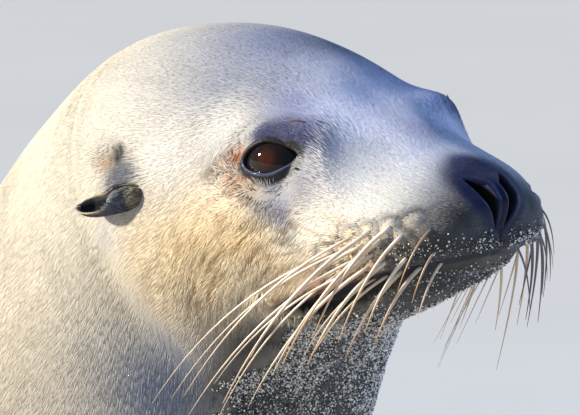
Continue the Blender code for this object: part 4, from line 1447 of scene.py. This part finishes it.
def tufts(name, ground, across, count, kinds, tuft_scale, random):
    """The mesh of the tufts rooted at the scattered places."""
    size = across(kinds) * tuft_scale / 1000
    ruffle, comb, tint = across(ground.ruffle), across(ground.comb), across(ground.markings)[:, :3]
    root, up, flow = across(ground.points), unit(across(ground.normal)), across(ground.lie)
    flow = unit(flow - up * np.sum(flow * up, axis=1, keepdims=True))
    drift = value_noise(comb[:, 0] / 16, comb[:, 1] / 9, 3)[:, None] - 0.5
    drift = (0.20 + 0.35 * ruffle) * drift + random.normal(0, 0.07, (count, 1)) * (0.7 + ruffle)
    flow = unit(flow + np.cross(flow, up) * drift)
    aside = np.cross(flow, up)
    streak = value_noise(comb[:, 0] / TUFT_RUN, comb[:, 1] / TUFT_STREAM, 7)[:, None]
    fleck = random.random((count, 1))
    tone = 1 + (0.05 + 0.55 * ruffle) * (streak - 0.55) + (0.06 + 0.20 * ruffle) * (fleck - 0.5)
    short = shortened(across(ground.lid))
    long = size[:, :1] * random.uniform(0.75, 1.25, (count, 1)) * short
    wide = size[:, 1:2] * random.uniform(0.75, 1.2, (count, 1)) / 2 * (0.6 + 0.4 * short)
    tall = size[:, 2:3] * (0.8 + 2.6 * ruffle * (0.3 + streak))
    lift = size[:, 3:4] * random.uniform(0.6, 1.3, (count, 1)) * (0.5 + 3.6 * ruffle) * short
    sink = up * (0.00010 + 0.4 * tall)
    bend = across(ground.bend)
    bend = np.where(bend < 0, 0.55 * bend, bend)

    def laid(share):
        reach = long * share
        return root + flow * reach - up * bend * reach ** 2 / 2

    low = up * lift * 0.2 - sink * 0.3
    points = np.stack([
        root - sink,
        laid(0.36) - aside * wide + low,
        laid(0.42) + up * (tall + lift * 0.35),
        laid(0.36) + aside * wide + low,
        laid(1.0) + up * lift,
    ], axis=1)
    # the partings between standing locks are darkened: damp hair, deepened by painted shade
    damp_and_shade = ruffle * smoothstep(0.55, 0.15, streak)
    tint = tint + (tint * DAMP_AND_SHADE_TINT - tint) * damp_and_shade
    # painted shade low on each tuft, and painted light on its ridge and tip
    darker = 1 + (0.5 + ruffle[:, :, None]) * SHADES[None, :, None]
    tints = tint[:, None] * tone[:, None] * darker
    mesh = repeated_mesh(name, points, SPINDLE, SPINDLE_SIZES, tints, ground.spots(across))
    return new_object(mesh)


def make_ear_coat(tag, tuft_scale):
    ground = Ground(bpy.data.objects[f"pinna_{tag}"].data)
    random = np.random.default_rng(EAR_SEED)
    share = ground.area * (ground.middle(ground.bare)[:, 0] < 0.1) / EAR_TUFT.area
    count, across = ground.scatter(share, random)
    kinds = np.tile(EAR_TUFT, (len(ground.points), 1))
    coat = tufts(f"coat_ear_{tag}", ground, across, count, kinds, tuft_scale, random)
    settle(coat, coat_look(), "coat")


def make_coat(tuft_scale):
    ground = Ground(bpy.data.objects["skin"].data)
    kinds = tuft_at(ground.place, ground.part, ground.mm[:, 1])
    hairy = smoothstep(0.55, 0.1, ground.middle(ground.bare)[:, 0])
    hairy *= 1 - 0.8 * ground.middle(ground.sand)[:, 0]
    hairy *= ground.middle(ground.points)[:, 2] > FLOOR_CLEAR
    share = ground.area * hairy / ground.middle(kinds)[:, 4]
    share = share / shortened(ground.middle(ground.lid)) ** 1.2
    where, limb = ground.middle(ground.place), ground.part[ground.corners].max(axis=1) > 0
    sideways = ground.middle(ground.unwrap)[:, 1]
    look = coat_look()
    number = 0
    for name, low, high, paired in COATS:
        for side, tag in (SIDES if paired else ((0, ""),)):
            number += 1
            random = np.random.default_rng(number)
            inside = (where >= low) & (where < high) & (limb == (name == "limbs"))
            inside &= (sideways * side >= 0) if side >= 0 else (sideways < 0)
            count, across = ground.scatter(share * inside, random)
            whole = f"coat_{name}_{tag}".rstrip("_")
            settle(tufts(whole, ground, across, count, kinds, tuft_scale, random), look, "coat")


# ---- sand --------------------------------------------------------------------------------------
GRAIN_SIZES = (0.00026, 0.00074)
GRAINS_PER_MM2 = 1.5
SAND_SEED = 50
GRAIN_POINTS = np.array(
    ((1, 0, 0), (-1, 0, 0), (0, 1, 0), (0, -1, 0), (0, 0, 1), (0, 0, -1)), float)
GRAIN_CORNERS = (4, 0, 2, 4, 2, 1, 4, 1, 3, 4, 3, 0, 5, 2, 0, 5, 1, 2, 5, 3, 1, 5, 0, 3)
GRAIN_COLOURS = np.array((
    (0.020, 0.018, 0.020), (0.09, 0.08, 0.07), (0.32, 0.30, 0.27), (0.66, 0.62, 0.55),
    (0.96, 0.90, 0.78), (0.48, 0.37, 0.21)))
GRAIN_SHARES = (0.13, 0.08, 0.14, 0.24, 0.35, 0.06)
SKIN_NOTES = ("lie", "straight", "unwrap", "ruffle")  # what only the making of the coat reads


def grain_look():
    look = Look("sand_grains", Specular_IOR_Level=0.5)
    grit = look.noise(look.place, 2500.0, 2.0)
    marks_and_shade = look.shaded(look.attribute("markings", "Color"), look.swing(grit, 0.8, 1.15))
    return look.finish(Base_Color=marks_and_shade, Roughness=look.swing(grit, 0.25, 0.6))


def turned_at_random(count, random):
    """One random rotation for each of count grains, as rows of three directions."""
    first, second = (unit(random.normal(0, 1, (count, 3))) for _ in range(2))
    second = unit(second - first * np.sum(first * second, axis=1, keepdims=True))
    return np.stack([first, second, np.cross(first, second)], axis=1)


def make_sand(grain_size):
    ground = Ground(bpy.data.objects["skin"].data)
    random = np.random.default_rng(SAND_SEED)
    mm = ground.middle(ground.mm)
    clump = value_noise(mm[:, 0] / 5 + mm[:, 1] / 6, mm[:, 2] / 5, 11)
    clump = 0.35 + 1.5 * smoothstep(0.25, 0.7, clump)
    share = ground.area * ground.middle(ground.sand)[:, 0] ** 1.3 * GRAINS_PER_MM2 * clump
    count, across = ground.scatter(share, random)
    small, large = GRAIN_SIZES
    size = (small + (large - small) * random.random((count, 1, 1)) ** 1.8) * grain_size
    shape = GRAIN_POINTS * random.uniform(0.65, 1.2, (count, 6, 1))
    turned = np.einsum("nij,njk->nik", shape, turned_at_random(count, random))
    seat = across(ground.points) + unit(across(ground.normal)) * (
        size[:, 0] * random.uniform(0.2, 1.1, (count, 1)) ** 2)
    colour = GRAIN_COLOURS[random.choice(len(GRAIN_SHARES), count, p=GRAIN_SHARES)]
    colour = colour * random.uniform(0.8, 1.2, (count, 1))
    mesh = repeated_mesh("sand_grains", seat[:, None] + turned * size, GRAIN_CORNERS, (3,) * 8,
                         np.repeat(colour[:, None], 6, axis=1), ground.spots(across))
    shade(mesh, False)
    settle(new_object(mesh), grain_look(), "coat")


# ---- eyes --------------------------------------------------------------------------------------
CORNEA_RISE, CORNEA_REACH = 0.9, math.radians(40)
PUPIL, IRIS = math.radians(13), math.radians(33)


def eye_look():
    look = Look("sea_lion_eye", Roughness=0.04, IOR=1.38, Coat_Weight=0.3, Coat_Roughness=0.02,
                Specular_IOR_Level=0.28)
    fibres = look.noise(look.attribute("spokes", "Vector"), 1.0, 3.0, 0.6, (14, 14, 0.12))
    edge = look.maths("ADD", look.attribute("ring"), look.swing(fibres, -0.03, 0.03))
    iris = look.mix(fibres, (*settings().iris, 1), (0.006, 0.004, 0.004, 1))
    white = look.mix(look.span(edge, IRIS - 0.03, IRIS + 0.06, 0, 1), iris,
                     (0.012, 0.010, 0.009, 1))
    # The pupil is painted with the reddish glow of light inside the eye: painted light.
    glow = look.mix(fibres, (0.010, 0.004, 0.003, 1), (0.080, 0.022, 0.008, 1))
    dark = look.span(edge, PUPIL - 0.09, PUPIL + 0.05, 0, 1)
    return look.finish(Base_Color=look.mix(dark, glow, white))


def make_eyes():
    look = eye_look()
    for side, tag in SIDES:
        bpy.ops.object.select_all(action="DESELECT")
        bpy.ops.mesh.primitive_uv_sphere_add(segments=72, ring_count=48, radius=EYE_RADIUS / 1000)
        eye = bpy.context.object
        eye.name = eye.data.name = f"eyeball_{tag}"
        ball = points_of(eye.data)
        straight = unit(ball)
        angle = np.arccos(np.clip(straight[:, 2], -1, 1))
        rise = CORNEA_RISE / 1000 * smoothstep(CORNEA_REACH, 0, angle)
        middle, front, _, axis = eye_frame(side)
        turned = middle + (ball + straight * rise[:, None]) @ np.array(
            [front, np.cross(axis, front), axis])
        eye.data.vertices.foreach_set("co", stance(turned).astype(np.float32).ravel())
        eye.data.update()
        write(eye.data, "ring", angle)
        write(eye.data, "spokes", straight)
        bpy.ops.object.shade_smooth()
        settle(eye, look, "eye_gloss", f"eye_{tag}")


# ---- ears --------------------------------------------------------------------------------------
EAR_RINGS, EAR_ARC = 30, 26
EAR_RADIUS, EAR_WALL = 6.6, 0.9
EAR_SEAT, EAR_END = (74.5, 160, -2), (89, 181, -7)  # where it leaves the head, and its tip
EAR_OPEN = (0.36, -0.36, 0.93)  # the rolled ear's opening faces up, and a little aside and ahead
EAR_CURL_ROOT, EAR_CURL_TIP = math.radians(346), math.radians(180)
EAR_FROM, EAR_WIDEST, EAR_SPREAD = -0.22, 0.40, 0.63  # along the ear, as shares of its length


def ear_look():
    look = Look("sea_lion_ear", Specular_IOR_Level=0.3, Sheen_Weight=0.1)
    hairs = look.noise(look.place, 520.0, 3.0, 0.6, (1, 0.35, 1))
    fine = look.noise(look.place, 1500.0, 2.0)
    marks_and_shade = look.shaded(look.attribute("markings", "Color"), look.swing(hairs, 0.7, 1.2))
    return look.finish(Base_Color=marks_and_shade, Roughness=look.swing(fine, 0.55, 0.75),
                       Normal=look.bump(hairs, 0.5, 0.0012))


def ear_tints(share, rim, inside):
    """Colours round one ring of the ear, painted shade inside and at its root: rim is 0 at its back
    and 1 at the opening's edges.
    """
    tips = smoothstep(0.2, 0.9, share) if inside else smoothstep(0.3, 0.9, share)
    if inside:
        # deep inside the rolled ear: painted shade
        tint = mixed(np.tile(HOLLOW_SHADE, (len(rim), 1)), EAR_LINING, smoothstep(0.55, 0.85, rim))
        return mixed(tint, TAN, smoothstep(0.88, 1, rim) * tips)
    tint = mixed(np.tile(EAR_TAN, (len(rim), 1)), EAR_GREY, places(smoothstep(0.02, 0.16, share)))
    # a dark band where the ear leaves the head: painted shade
    tint = mixed(tint, "muzzle", places(0.8 * bell(share - 0.10, 0.05)))
    return mixed(tint, TAN, smoothstep(0.8, 1, rim) * tips)


def make_ears():
    look = ear_look()
    for side, tag in SIDES:
        base, tip = (on_head(np.array(p) * (side, 1, 1)) for p in (EAR_SEAT, EAR_END))
        opened = on_head(np.array(EAR_OPEN) * (side, 1, 1)) - on_head((0, 0, 0))
        along = unit(tip - base)
        open_way = unit(opened - along * (opened @ along))
        beside = np.cross(along, open_way)
        points, tints, notes = [], [], []
        for share in 1 - (1 - EAR_FROM) * np.cos(np.linspace(0, math.pi / 2, EAR_RINGS)):
            size = math.sqrt(max(1 - abs((share - EAR_WIDEST) / EAR_SPREAD) ** 3.2, 0.02))
            uncurled = float(smoothstep(0.0, 0.62, share))
            curl = EAR_CURL_ROOT + (EAR_CURL_TIP - EAR_CURL_ROOT) * uncurled
            turns = np.linspace(-curl / 2, curl / 2, EAR_ARC) + math.pi
            wall = EAR_WALL * (0.4 + 0.6 * size)
            for inside, radius, t in (
                    (False, EAR_RADIUS, turns), (True, EAR_RADIUS - wall, turns[::-1])):
                rim = np.abs(t - math.pi) / (curl / 2)
                across = open_way * np.cos(t)[:, None] * 0.92 + beside * np.sin(t)[:, None]
                flare = 1 + 0.08 * smoothstep(0.75, 1, rim)[:, None]
                middle = base + (tip - base) * share
                points.append(middle + across * flare * radius * size / 1000)
                tints.append(ear_tints(share, rim, inside))
                notes.append(np.column_stack([
                    np.full(len(t), share), t - math.pi, np.full(len(t), float(inside))]))
        points = np.vstack(points)
        faces = strips(0, 2 * EAR_ARC, EAR_RINGS) + end_faces(2 * EAR_ARC, EAR_RINGS, -1)
        mesh = new_mesh(f"pinna_{tag}", stance(points), outward(points, faces))
        share, turn, inside = np.vstack(notes).T
        none = np.zeros(len(points))
        paint(mesh, np.vstack(tints))
        for name, values in (
                ("lie", stance_of(points, np.tile(along, (len(points), 1)))),
                ("straight", points), ("unwrap", np.column_stack([share, turn, none])),
                ("comb", np.column_stack([30 * share, EAR_RADIUS * turn, none])),
                ("bare", inside), ("sand", none), ("ruffle", none + 0.12)):
            write(mesh, name, values)
        shade(mesh, True)
        settle(new_object(mesh), look, "coat", f"ear_{tag}")


# ---- nails -------------------------------------------------------------------------------------
NAIL_RINGS, NAIL_SIDES = 12, 14


def nail_look():
    look = Look("sea_lion_nail", Specular_IOR_Level=0.5)
    grain = look.noise(look.place, 900.0, 3.0, 0.6, (1, 0.2, 1))
    tint = look.mix(grain, (0.055, 0.045, 0.038, 1), (0.13, 0.105, 0.085, 1))
    return look.finish(Base_Color=tint, Roughness=look.swing(grain, 0.32, 0.5),
                       Normal=look.bump(grain, 0.35, 0.0004))


def round_tube(line, wide, high, sides):
    """Points of rings round each point of a line: wide and high are each ring's half widths."""
    turns = turns_of(sides)
    return (line[:, None] + wide[:, None] * np.cos(turns)[None, :, None]
            + high[:, None] * np.sin(turns)[None, :, None]).reshape(-1, 3)


def make_nails():
    look = nail_look()
    end = len(HIND_BLADES) - 1.0
    for side, tag in SIDES:
        for toe in NAIL_TOES:
            across = places(1 - 2 * (toe + 0.5) / TOES)
            back, front = (
                blade_points(HIND, places(p), side, across, places(1.0), True)[0]
                for p in (end - NAIL_BACK, end))
            along = unit(front - back)
            wide = unit(np.cross(along, (0, 0, 1)))
            up = np.cross(wide, along)
            share = np.linspace(0, 1, NAIL_RINGS)[:, None]
            size = NAIL_RADIUS * np.sqrt(np.maximum(1.0 - share ** 2.4, 0.01)) * 0.98
            line = back + along * NAIL_LENGTH * share - up * 0.0012 * share ** 2
            points = round_tube(line, wide * size, up * 0.9 * size, NAIL_SIDES)
            faces = tube_faces(NAIL_SIDES, NAIL_RINGS)
            nail = new_object(new_mesh(
                f"claw_{tag}_{toe + 1}", stance(points), outward(points, faces)))
            select_only(nail)
            bpy.ops.object.shade_smooth_by_angle(angle=math.radians(40))
            settle(nail, look, "nail", f"nail_{tag}_{toe + 1}")


# ---- whiskers ----------------------------------------------------------------------------------
WHISKER_RINGS, WHISKER_SIDES = 14, 6
WHISKER_SEED = 21
# The dark tint of the far side's front whiskers is painted shade, where the head shades them.
WHISKER_TINTS = {
    "pad": "whiskers", "front": (0.34, 0.28, 0.22), "brow": (0.06, 0.05, 0.05),
    "wet": (0.11, 0.10, 0.10)}
WHISKER_GOLD = (0.60, 0.36, 0.10)
BROW_HAIRS = ((42, 80, 33, 9), (36, 76, 36, 7))  # root aside, behind, above, and length
Hair = namedtuple("Hair", "root way bend length thick kind")


def whisker_look():
    look = Look("sea_lion_whisker", Roughness=0.28, Specular_IOR_Level=0.55,
                Subsurface_Weight=0.25, Subsurface_Scale=0.002)
    bands = look.swing(look.noise(look.place, 90.0, 2.0), 0.8, 1.1)
    return look.finish(Base_Color=look.shaded(look.attribute("markings", "Color"), bands))


def pad_whiskers(side, tree, thick, random):
    """The whiskers of one side: the hindmost are the longest."""
    zero = on_head((0, 0, 0))
    out = on_head((side, 0, 0)) - zero
    for row, column, behind, above in whisker_roots():
        seen = on_head((side * 90, behind, above))
        hit = tree.ray_cast(Vector(seen), Vector(-unit(out)))[0]
        if hit is None:
            continue
        back = min(1, (column + 0.5 * (row % 2)) / (WHISKER_COLUMNS - 1.5))
        if row == 0 and column < 2 or random.random() < 0.16:
            continue
        high = 1 - row / (WHISKER_ROWS - 1)
        long = 0.020 + 0.126 * back ** 1.3 * (0.34 + 0.66 * high ** 0.7)
        long *= random.uniform(0.82, 1.1)
        drop = 0.62 - (0.16 + 0.24 * high) * back
        way = np.array((side * (0.66 - 0.18 * back), 0.12 + 0.62 * back, -drop))
        bend = np.array((side * -0.18, 0.14 - 0.12 * back, -0.46 + 0.17 * back))
        start = on_head(way + random.normal(0, 0.05, 3)) - zero
        wide = thick * (0.60 + 0.72 * bell(back - 0.55, 0.35)) * (0.8 if side > 0 else 1)
        # the far side's front whiskers are darkened: painted shade from the head
        damp_and_shade = side > 0 and back < 0.6
        yield Hair(np.array(hit) - 1.5 * start, 1000 * start, 1000 * (on_head(bend) - zero), long,
                   wide, "wet" if damp_and_shade else "pad" if back > 0.2 else "front")


def brow_hairs(side, tree, thick):
    """The short stiff hairs over one eye."""
    zero = on_head((0, 0, 0))
    start = unit(on_head((side * 0.55, 0.75, 0.35)) - zero)
    down = unit(on_head((side * 0.2, 0.3, -1)) - zero)
    for aside, behind, above, long in BROW_HAIRS:
        seen = on_head((side * aside, behind, above + 40))
        hit = tree.ray_cast(Vector(seen), Vector(zero - on_head((0, 0, 1))))[0]
        yield Hair(np.array(hit) - 0.001 * start, start, 0.25 * down, long / 1000,
                   thick * 0.5, "brow")


def hair_points(hair):
    """Points of a tapered hair from its root, the way it starts, and how it bends."""
    share = np.linspace(0, 1, WHISKER_RINGS)[:, None]
    line = hair.root + hair.length * (hair.way * share + hair.bend * share ** 2)
    along = unit(np.gradient(line, axis=0))
    side = unit(np.cross(along, (0.3, 0.2, 1.0)))
    radius = hair.thick * (1 - 0.86 * share ** 1.6)
    return round_tube(line, radius * side, radius * np.cross(side, along), WHISKER_SIDES)


def hair_tints(hair):
    """Colours of a hair's points: gold towards the tip, and underneath on the long ones."""
    share = np.repeat(np.linspace(0, 1, WHISKER_RINGS), WHISKER_SIDES)
    gold = 0 if hair.kind == "wet" else 0.35 + 0.6 * (hair.length < 0.07)
    below = np.tile(np.sin(turns_of(WHISKER_SIDES)) < -0.1, WHISKER_RINGS)
    return mixed(np.tile(hue(WHISKER_TINTS[hair.kind]), (len(share), 1)), WHISKER_GOLD,
                 np.maximum(gold * share ** 1.5, 0.75 * below * (hair.kind == "pad")))


def make_whiskers(thick):
    skin = bpy.data.objects["skin"].data
    tree = BVHTree.FromPolygons(read(skin, "straight").tolist(), triangles_of(skin).tolist())
    random = np.random.default_rng(WHISKER_SEED)
    hairs = [hair for side, _ in SIDES
             for hair in (*pad_whiskers(side, tree, thick, random),
                          *brow_hairs(side, tree, thick))]
    one = tube_faces(WHISKER_SIDES, WHISKER_RINGS)
    faces = [tuple(first * WHISKER_RINGS * WHISKER_SIDES + corner for corner in face)
             for first in range(len(hairs)) for face in one]
    points = np.vstack([hair_points(hair) for hair in hairs])
    mesh = new_mesh("whiskers", stance(points), faces)
    paint(mesh, np.vstack([hair_tints(hair) for hair in hairs]))
    shade(mesh, True)
    settle(new_object(mesh), whisker_look(), "coat")


# ---- stage -------------------------------------------------------------------------------------
CAMERA_AZIMUTH, CAMERA_HEIGHT = math.radians(-50), math.radians(12)
CAMERA_AWAY, CAMERA_SENSOR, CAMERA_NEAR = 2.2, 36, 0.05
VIEW_WIDTH = 0.24681  # how much the camera sees from side to side at the head
NOSE_RIGHT, NOSE_UP = 0.09064, 0.00404  # where the nose stands from the view's middle
FLOOR_SIZE = 60
SUN_FROM, SUN_COLOUR, SUN_ANGLE = (-0.74, 0.60, 0.31), (1.0, 0.93, 0.80), math.radians(4)
SKY_COLOUR, FILL_COLOUR, FILL_POWER, FILL_SIZE = (0.46, 0.67, 1.0, 1), (0.34, 0.52, 1.0), 36.0, 1.8


def staged(name, data, place, turn):
    """A lamp or camera as an object of the scene."""
    obj = bpy.data.objects.new(name, data)
    bpy.context.scene.collection.objects.link(obj)
    obj.location, obj.rotation_euler = place, turn.to_euler()
    return obj


def lamp(name, kind, energy, colour, place, target, **settings):
    light = bpy.data.lights.new(name, kind)
    light.energy, light.color = energy, colour
    for setting, value in settings.items():
        setattr(light, setting, value)
    staged(name, light, place, (target - place).to_track_quat("-Z", "Y"))


def make_stage(sun, sky):
    bpy.ops.object.select_all(action="DESELECT")
    bpy.ops.mesh.primitive_plane_add(size=FLOOR_SIZE)
    floor = bpy.context.object
    floor.name = "floor"
    look = Look("pale_floor")
    grain = look.noise(look.place, 3.0, 3.0)
    floor.data.materials.append(look.finish(
        Base_Color=look.mix(grain, (0.74, 0.73, 0.72, 1), (0.80, 0.79, 0.78, 1)),
        Roughness=look.span(grain, 0, 1, 0.85, 0.95)))

    world = bpy.data.worlds.new("sky")
    bpy.context.scene.world = world
    world.use_nodes = True
    shine = world.node_tree.nodes["Background"].inputs
    shine["Color"].default_value, shine["Strength"].default_value = SKY_COLOUR, sky

    nose = Vector(stance(on_head((0, 0, 0))[None])[0])
    way = Vector(stance_of(on_head((0, 120, 0))[None], unit(np.array(SUN_FROM))[None])[0])
    lamp("sun", "SUN", sun, SUN_COLOUR, nose + way * 3, nose, angle=SUN_ANGLE)
    back = Vector((
        math.sin(CAMERA_AZIMUTH) * math.cos(CAMERA_HEIGHT),
        -math.cos(CAMERA_AZIMUTH) * math.cos(CAMERA_HEIGHT), math.sin(CAMERA_HEIGHT)))
    turn = (-back).to_track_quat("-Z", "Y")
    right, up = turn @ Vector((1, 0, 0)), turn @ Vector((0, 1, 0))
    lamp("sky_fill", "AREA", FILL_POWER, FILL_COLOUR,
         nose + right * 1.6 + Vector((0, 0, 1.3)) - back * 0.2, nose, size=FILL_SIZE)
    camera = bpy.data.cameras.new("camera")
    camera.sensor_width, camera.clip_start = CAMERA_SENSOR, CAMERA_NEAR
    camera.lens = CAMERA_SENSOR * CAMERA_AWAY / VIEW_WIDTH
    middle = nose - right * NOSE_RIGHT - up * NOSE_UP
    bpy.context.scene.camera = staged("camera", camera, middle + back * CAMERA_AWAY, turn)
    bpy.context.scene.view_settings.view_transform = "Standard"


# ---- add-on ------------------------------------------------------------------------------------
def colour_setting(name, default, description):
    """A colour that the user sets."""
    return bpy.props.FloatVectorProperty(
        name=name, description=description, default=default, min=0, max=1, subtype="COLOR")


def number_setting(name, default, description, **more):
    """A number that the user sets."""
    return bpy.props.FloatProperty(name=name, description=description, default=default, **more)


class SeaLionSettings(bpy.types.PropertyGroup):
    back: colour_setting("Back", (0.50, 0.50, 0.51), "The coat along the back")
    underside: colour_setting("Underside", (0.66, 0.58, 0.43), "The coat of neck and belly")
    # the crown's dark blue: painted shade and blue sky reflection
    crown: colour_setting("Crown", (0.105, 0.132, 0.235), "The dark of the crown")
    # the forehead's blue: painted sky light in shade
    forehead: colour_setting(
        "Forehead", (0.54, 0.58, 0.76), "The forehead and the top of the muzzle")
    cheek: colour_setting("Cheek", (0.76, 0.57, 0.31), "The gold of cheek and whisker pad")
    muzzle: colour_setting("Muzzle", (0.020, 0.017, 0.020), "The dark round the nose")
    flippers: colour_setting("Flippers", (0.040, 0.033, 0.031), "The bare skin of the flippers")
    whiskers: colour_setting("Whiskers", (0.88, 0.84, 0.76), "The long whiskers")
    iris: colour_setting("Iris", (0.020, 0.010, 0.007), "The ring round the pupil")
    coat_depth: number_setting(
        "Coat depth", 0.0012, "How far the skin lies inside the coat's outline",
        min=0, unit="LENGTH")
    tuft_scale: number_setting(
        "Tuft size", 1.0, "Size of the coat's tufts over their natural size",
        min=0.3, subtype="FACTOR")
    grain_size: number_setting(
        "Grain size", 1.0, "Size of the sand grains over their natural size",
        min=0.2, subtype="FACTOR")
    whisker_thickness: number_setting(
        "Whisker thickness", 0.00082, "Radius of a long whisker at its root",
        min=0, unit="LENGTH")
    sun: number_setting("Sun", 6.6, "Strength of the warm light", min=0)
    sky: number_setting("Sky", 0.36, "Strength of the light from all round", min=0)


def settings():
    return bpy.context.scene.sea_lion


class SEALION_OT_skin(bpy.types.Operator):
    """Model the skin of head, body and flippers"""
    bl_idname = "sealion.skin"
    bl_label = "Skin"

    def execute(self, context):
        make_skin(settings().coat_depth)
        return {"FINISHED"}


class SEALION_OT_coat(bpy.types.Operator):
    """Lay the coat's tufts over the skin and the ears"""
    bl_idname = "sealion.coat"
    bl_label = "Coat"

    def execute(self, context):
        make_coat(settings().tuft_scale)
        for _, tag in SIDES:
            make_ear_coat(tag, settings().tuft_scale)
        return {"FINISHED"}


class SEALION_OT_sand(bpy.types.Operator):
    """Strew the sand that clings to chin and throat"""
    bl_idname = "sealion.sand"
    bl_label = "Sand"

    def execute(self, context):
        make_sand(settings().grain_size)
        for piece in ("skin", "pinna_left", "pinna_right"):
            notes = bpy.data.objects[piece].data.attributes
            for name in SKIN_NOTES:
                notes.remove(notes[name])
        return {"FINISHED"}


class SEALION_OT_eyes(bpy.types.Operator):
    """Set the eyes in their lids"""
    bl_idname = "sealion.eyes"
    bl_label = "Eyes"

    def execute(self, context):
        make_eyes()
        return {"FINISHED"}


class SEALION_OT_ears(bpy.types.Operator):
    """Roll the small ears"""
    bl_idname = "sealion.ears"
    bl_label = "Ears"

    def execute(self, context):
        make_ears()
        return {"FINISHED"}


class SEALION_OT_nails(bpy.types.Operator):
    """Set the nails on the hind toes"""
    bl_idname = "sealion.nails"
    bl_label = "Nails"

    def execute(self, context):
        make_nails()
        return {"FINISHED"}


class SEALION_OT_whiskers(bpy.types.Operator):
    """Set the whiskers in their pads, and the hairs over the eyes"""
    bl_idname = "sealion.whiskers"
    bl_label = "Whiskers"

    def execute(self, context):
        make_whiskers(settings().whisker_thickness)
        return {"FINISHED"}


class SEALION_OT_stage(bpy.types.Operator):
    """Set the floor, the lights and the camera"""
    bl_idname = "sealion.stage"
    bl_label = "Stage"

    def execute(self, context):
        make_stage(settings().sun, settings().sky)
        return {"FINISHED"}


STEPS = (SEALION_OT_stage, SEALION_OT_skin, SEALION_OT_eyes, SEALION_OT_ears, SEALION_OT_nails,
         SEALION_OT_whiskers, SEALION_OT_coat, SEALION_OT_sand)


class SEALION_PT_panel(bpy.types.Panel):
    """The sea lion's sizes and the steps that model it"""
    bl_idname = "SEALION_PT_panel"
    bl_label = "Sea lion"
    bl_space_type = "VIEW_3D"
    bl_region_type = "UI"
    bl_category = "Sea lion"

    def draw(self, context):
        for name in SeaLionSettings.__annotations__:
            self.layout.prop(context.scene.sea_lion, name)
        for step in STEPS:
            self.layout.operator(step.bl_idname)


CLASSES = (SeaLionSettings, SEALION_PT_panel) + STEPS


def register():
    for cls in CLASSES:
        bpy.utils.register_class(cls)
    bpy.types.Scene.sea_lion = bpy.props.PointerProperty(type=SeaLionSettings)


def unregister():
    del bpy.types.Scene.sea_lion
    for cls in reversed(CLASSES):
        bpy.utils.unregister_class(cls)


def main():
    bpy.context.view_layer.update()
    register()
    bpy.ops.sealion.stage()
    bpy.ops.sealion.skin()
    bpy.ops.sealion.eyes()
    bpy.ops.sealion.ears()
    bpy.ops.sealion.nails()
    bpy.ops.sealion.whiskers()
    bpy.ops.sealion.coat()
    bpy.ops.sealion.sand()


if __name__ == "__main__":
    main()
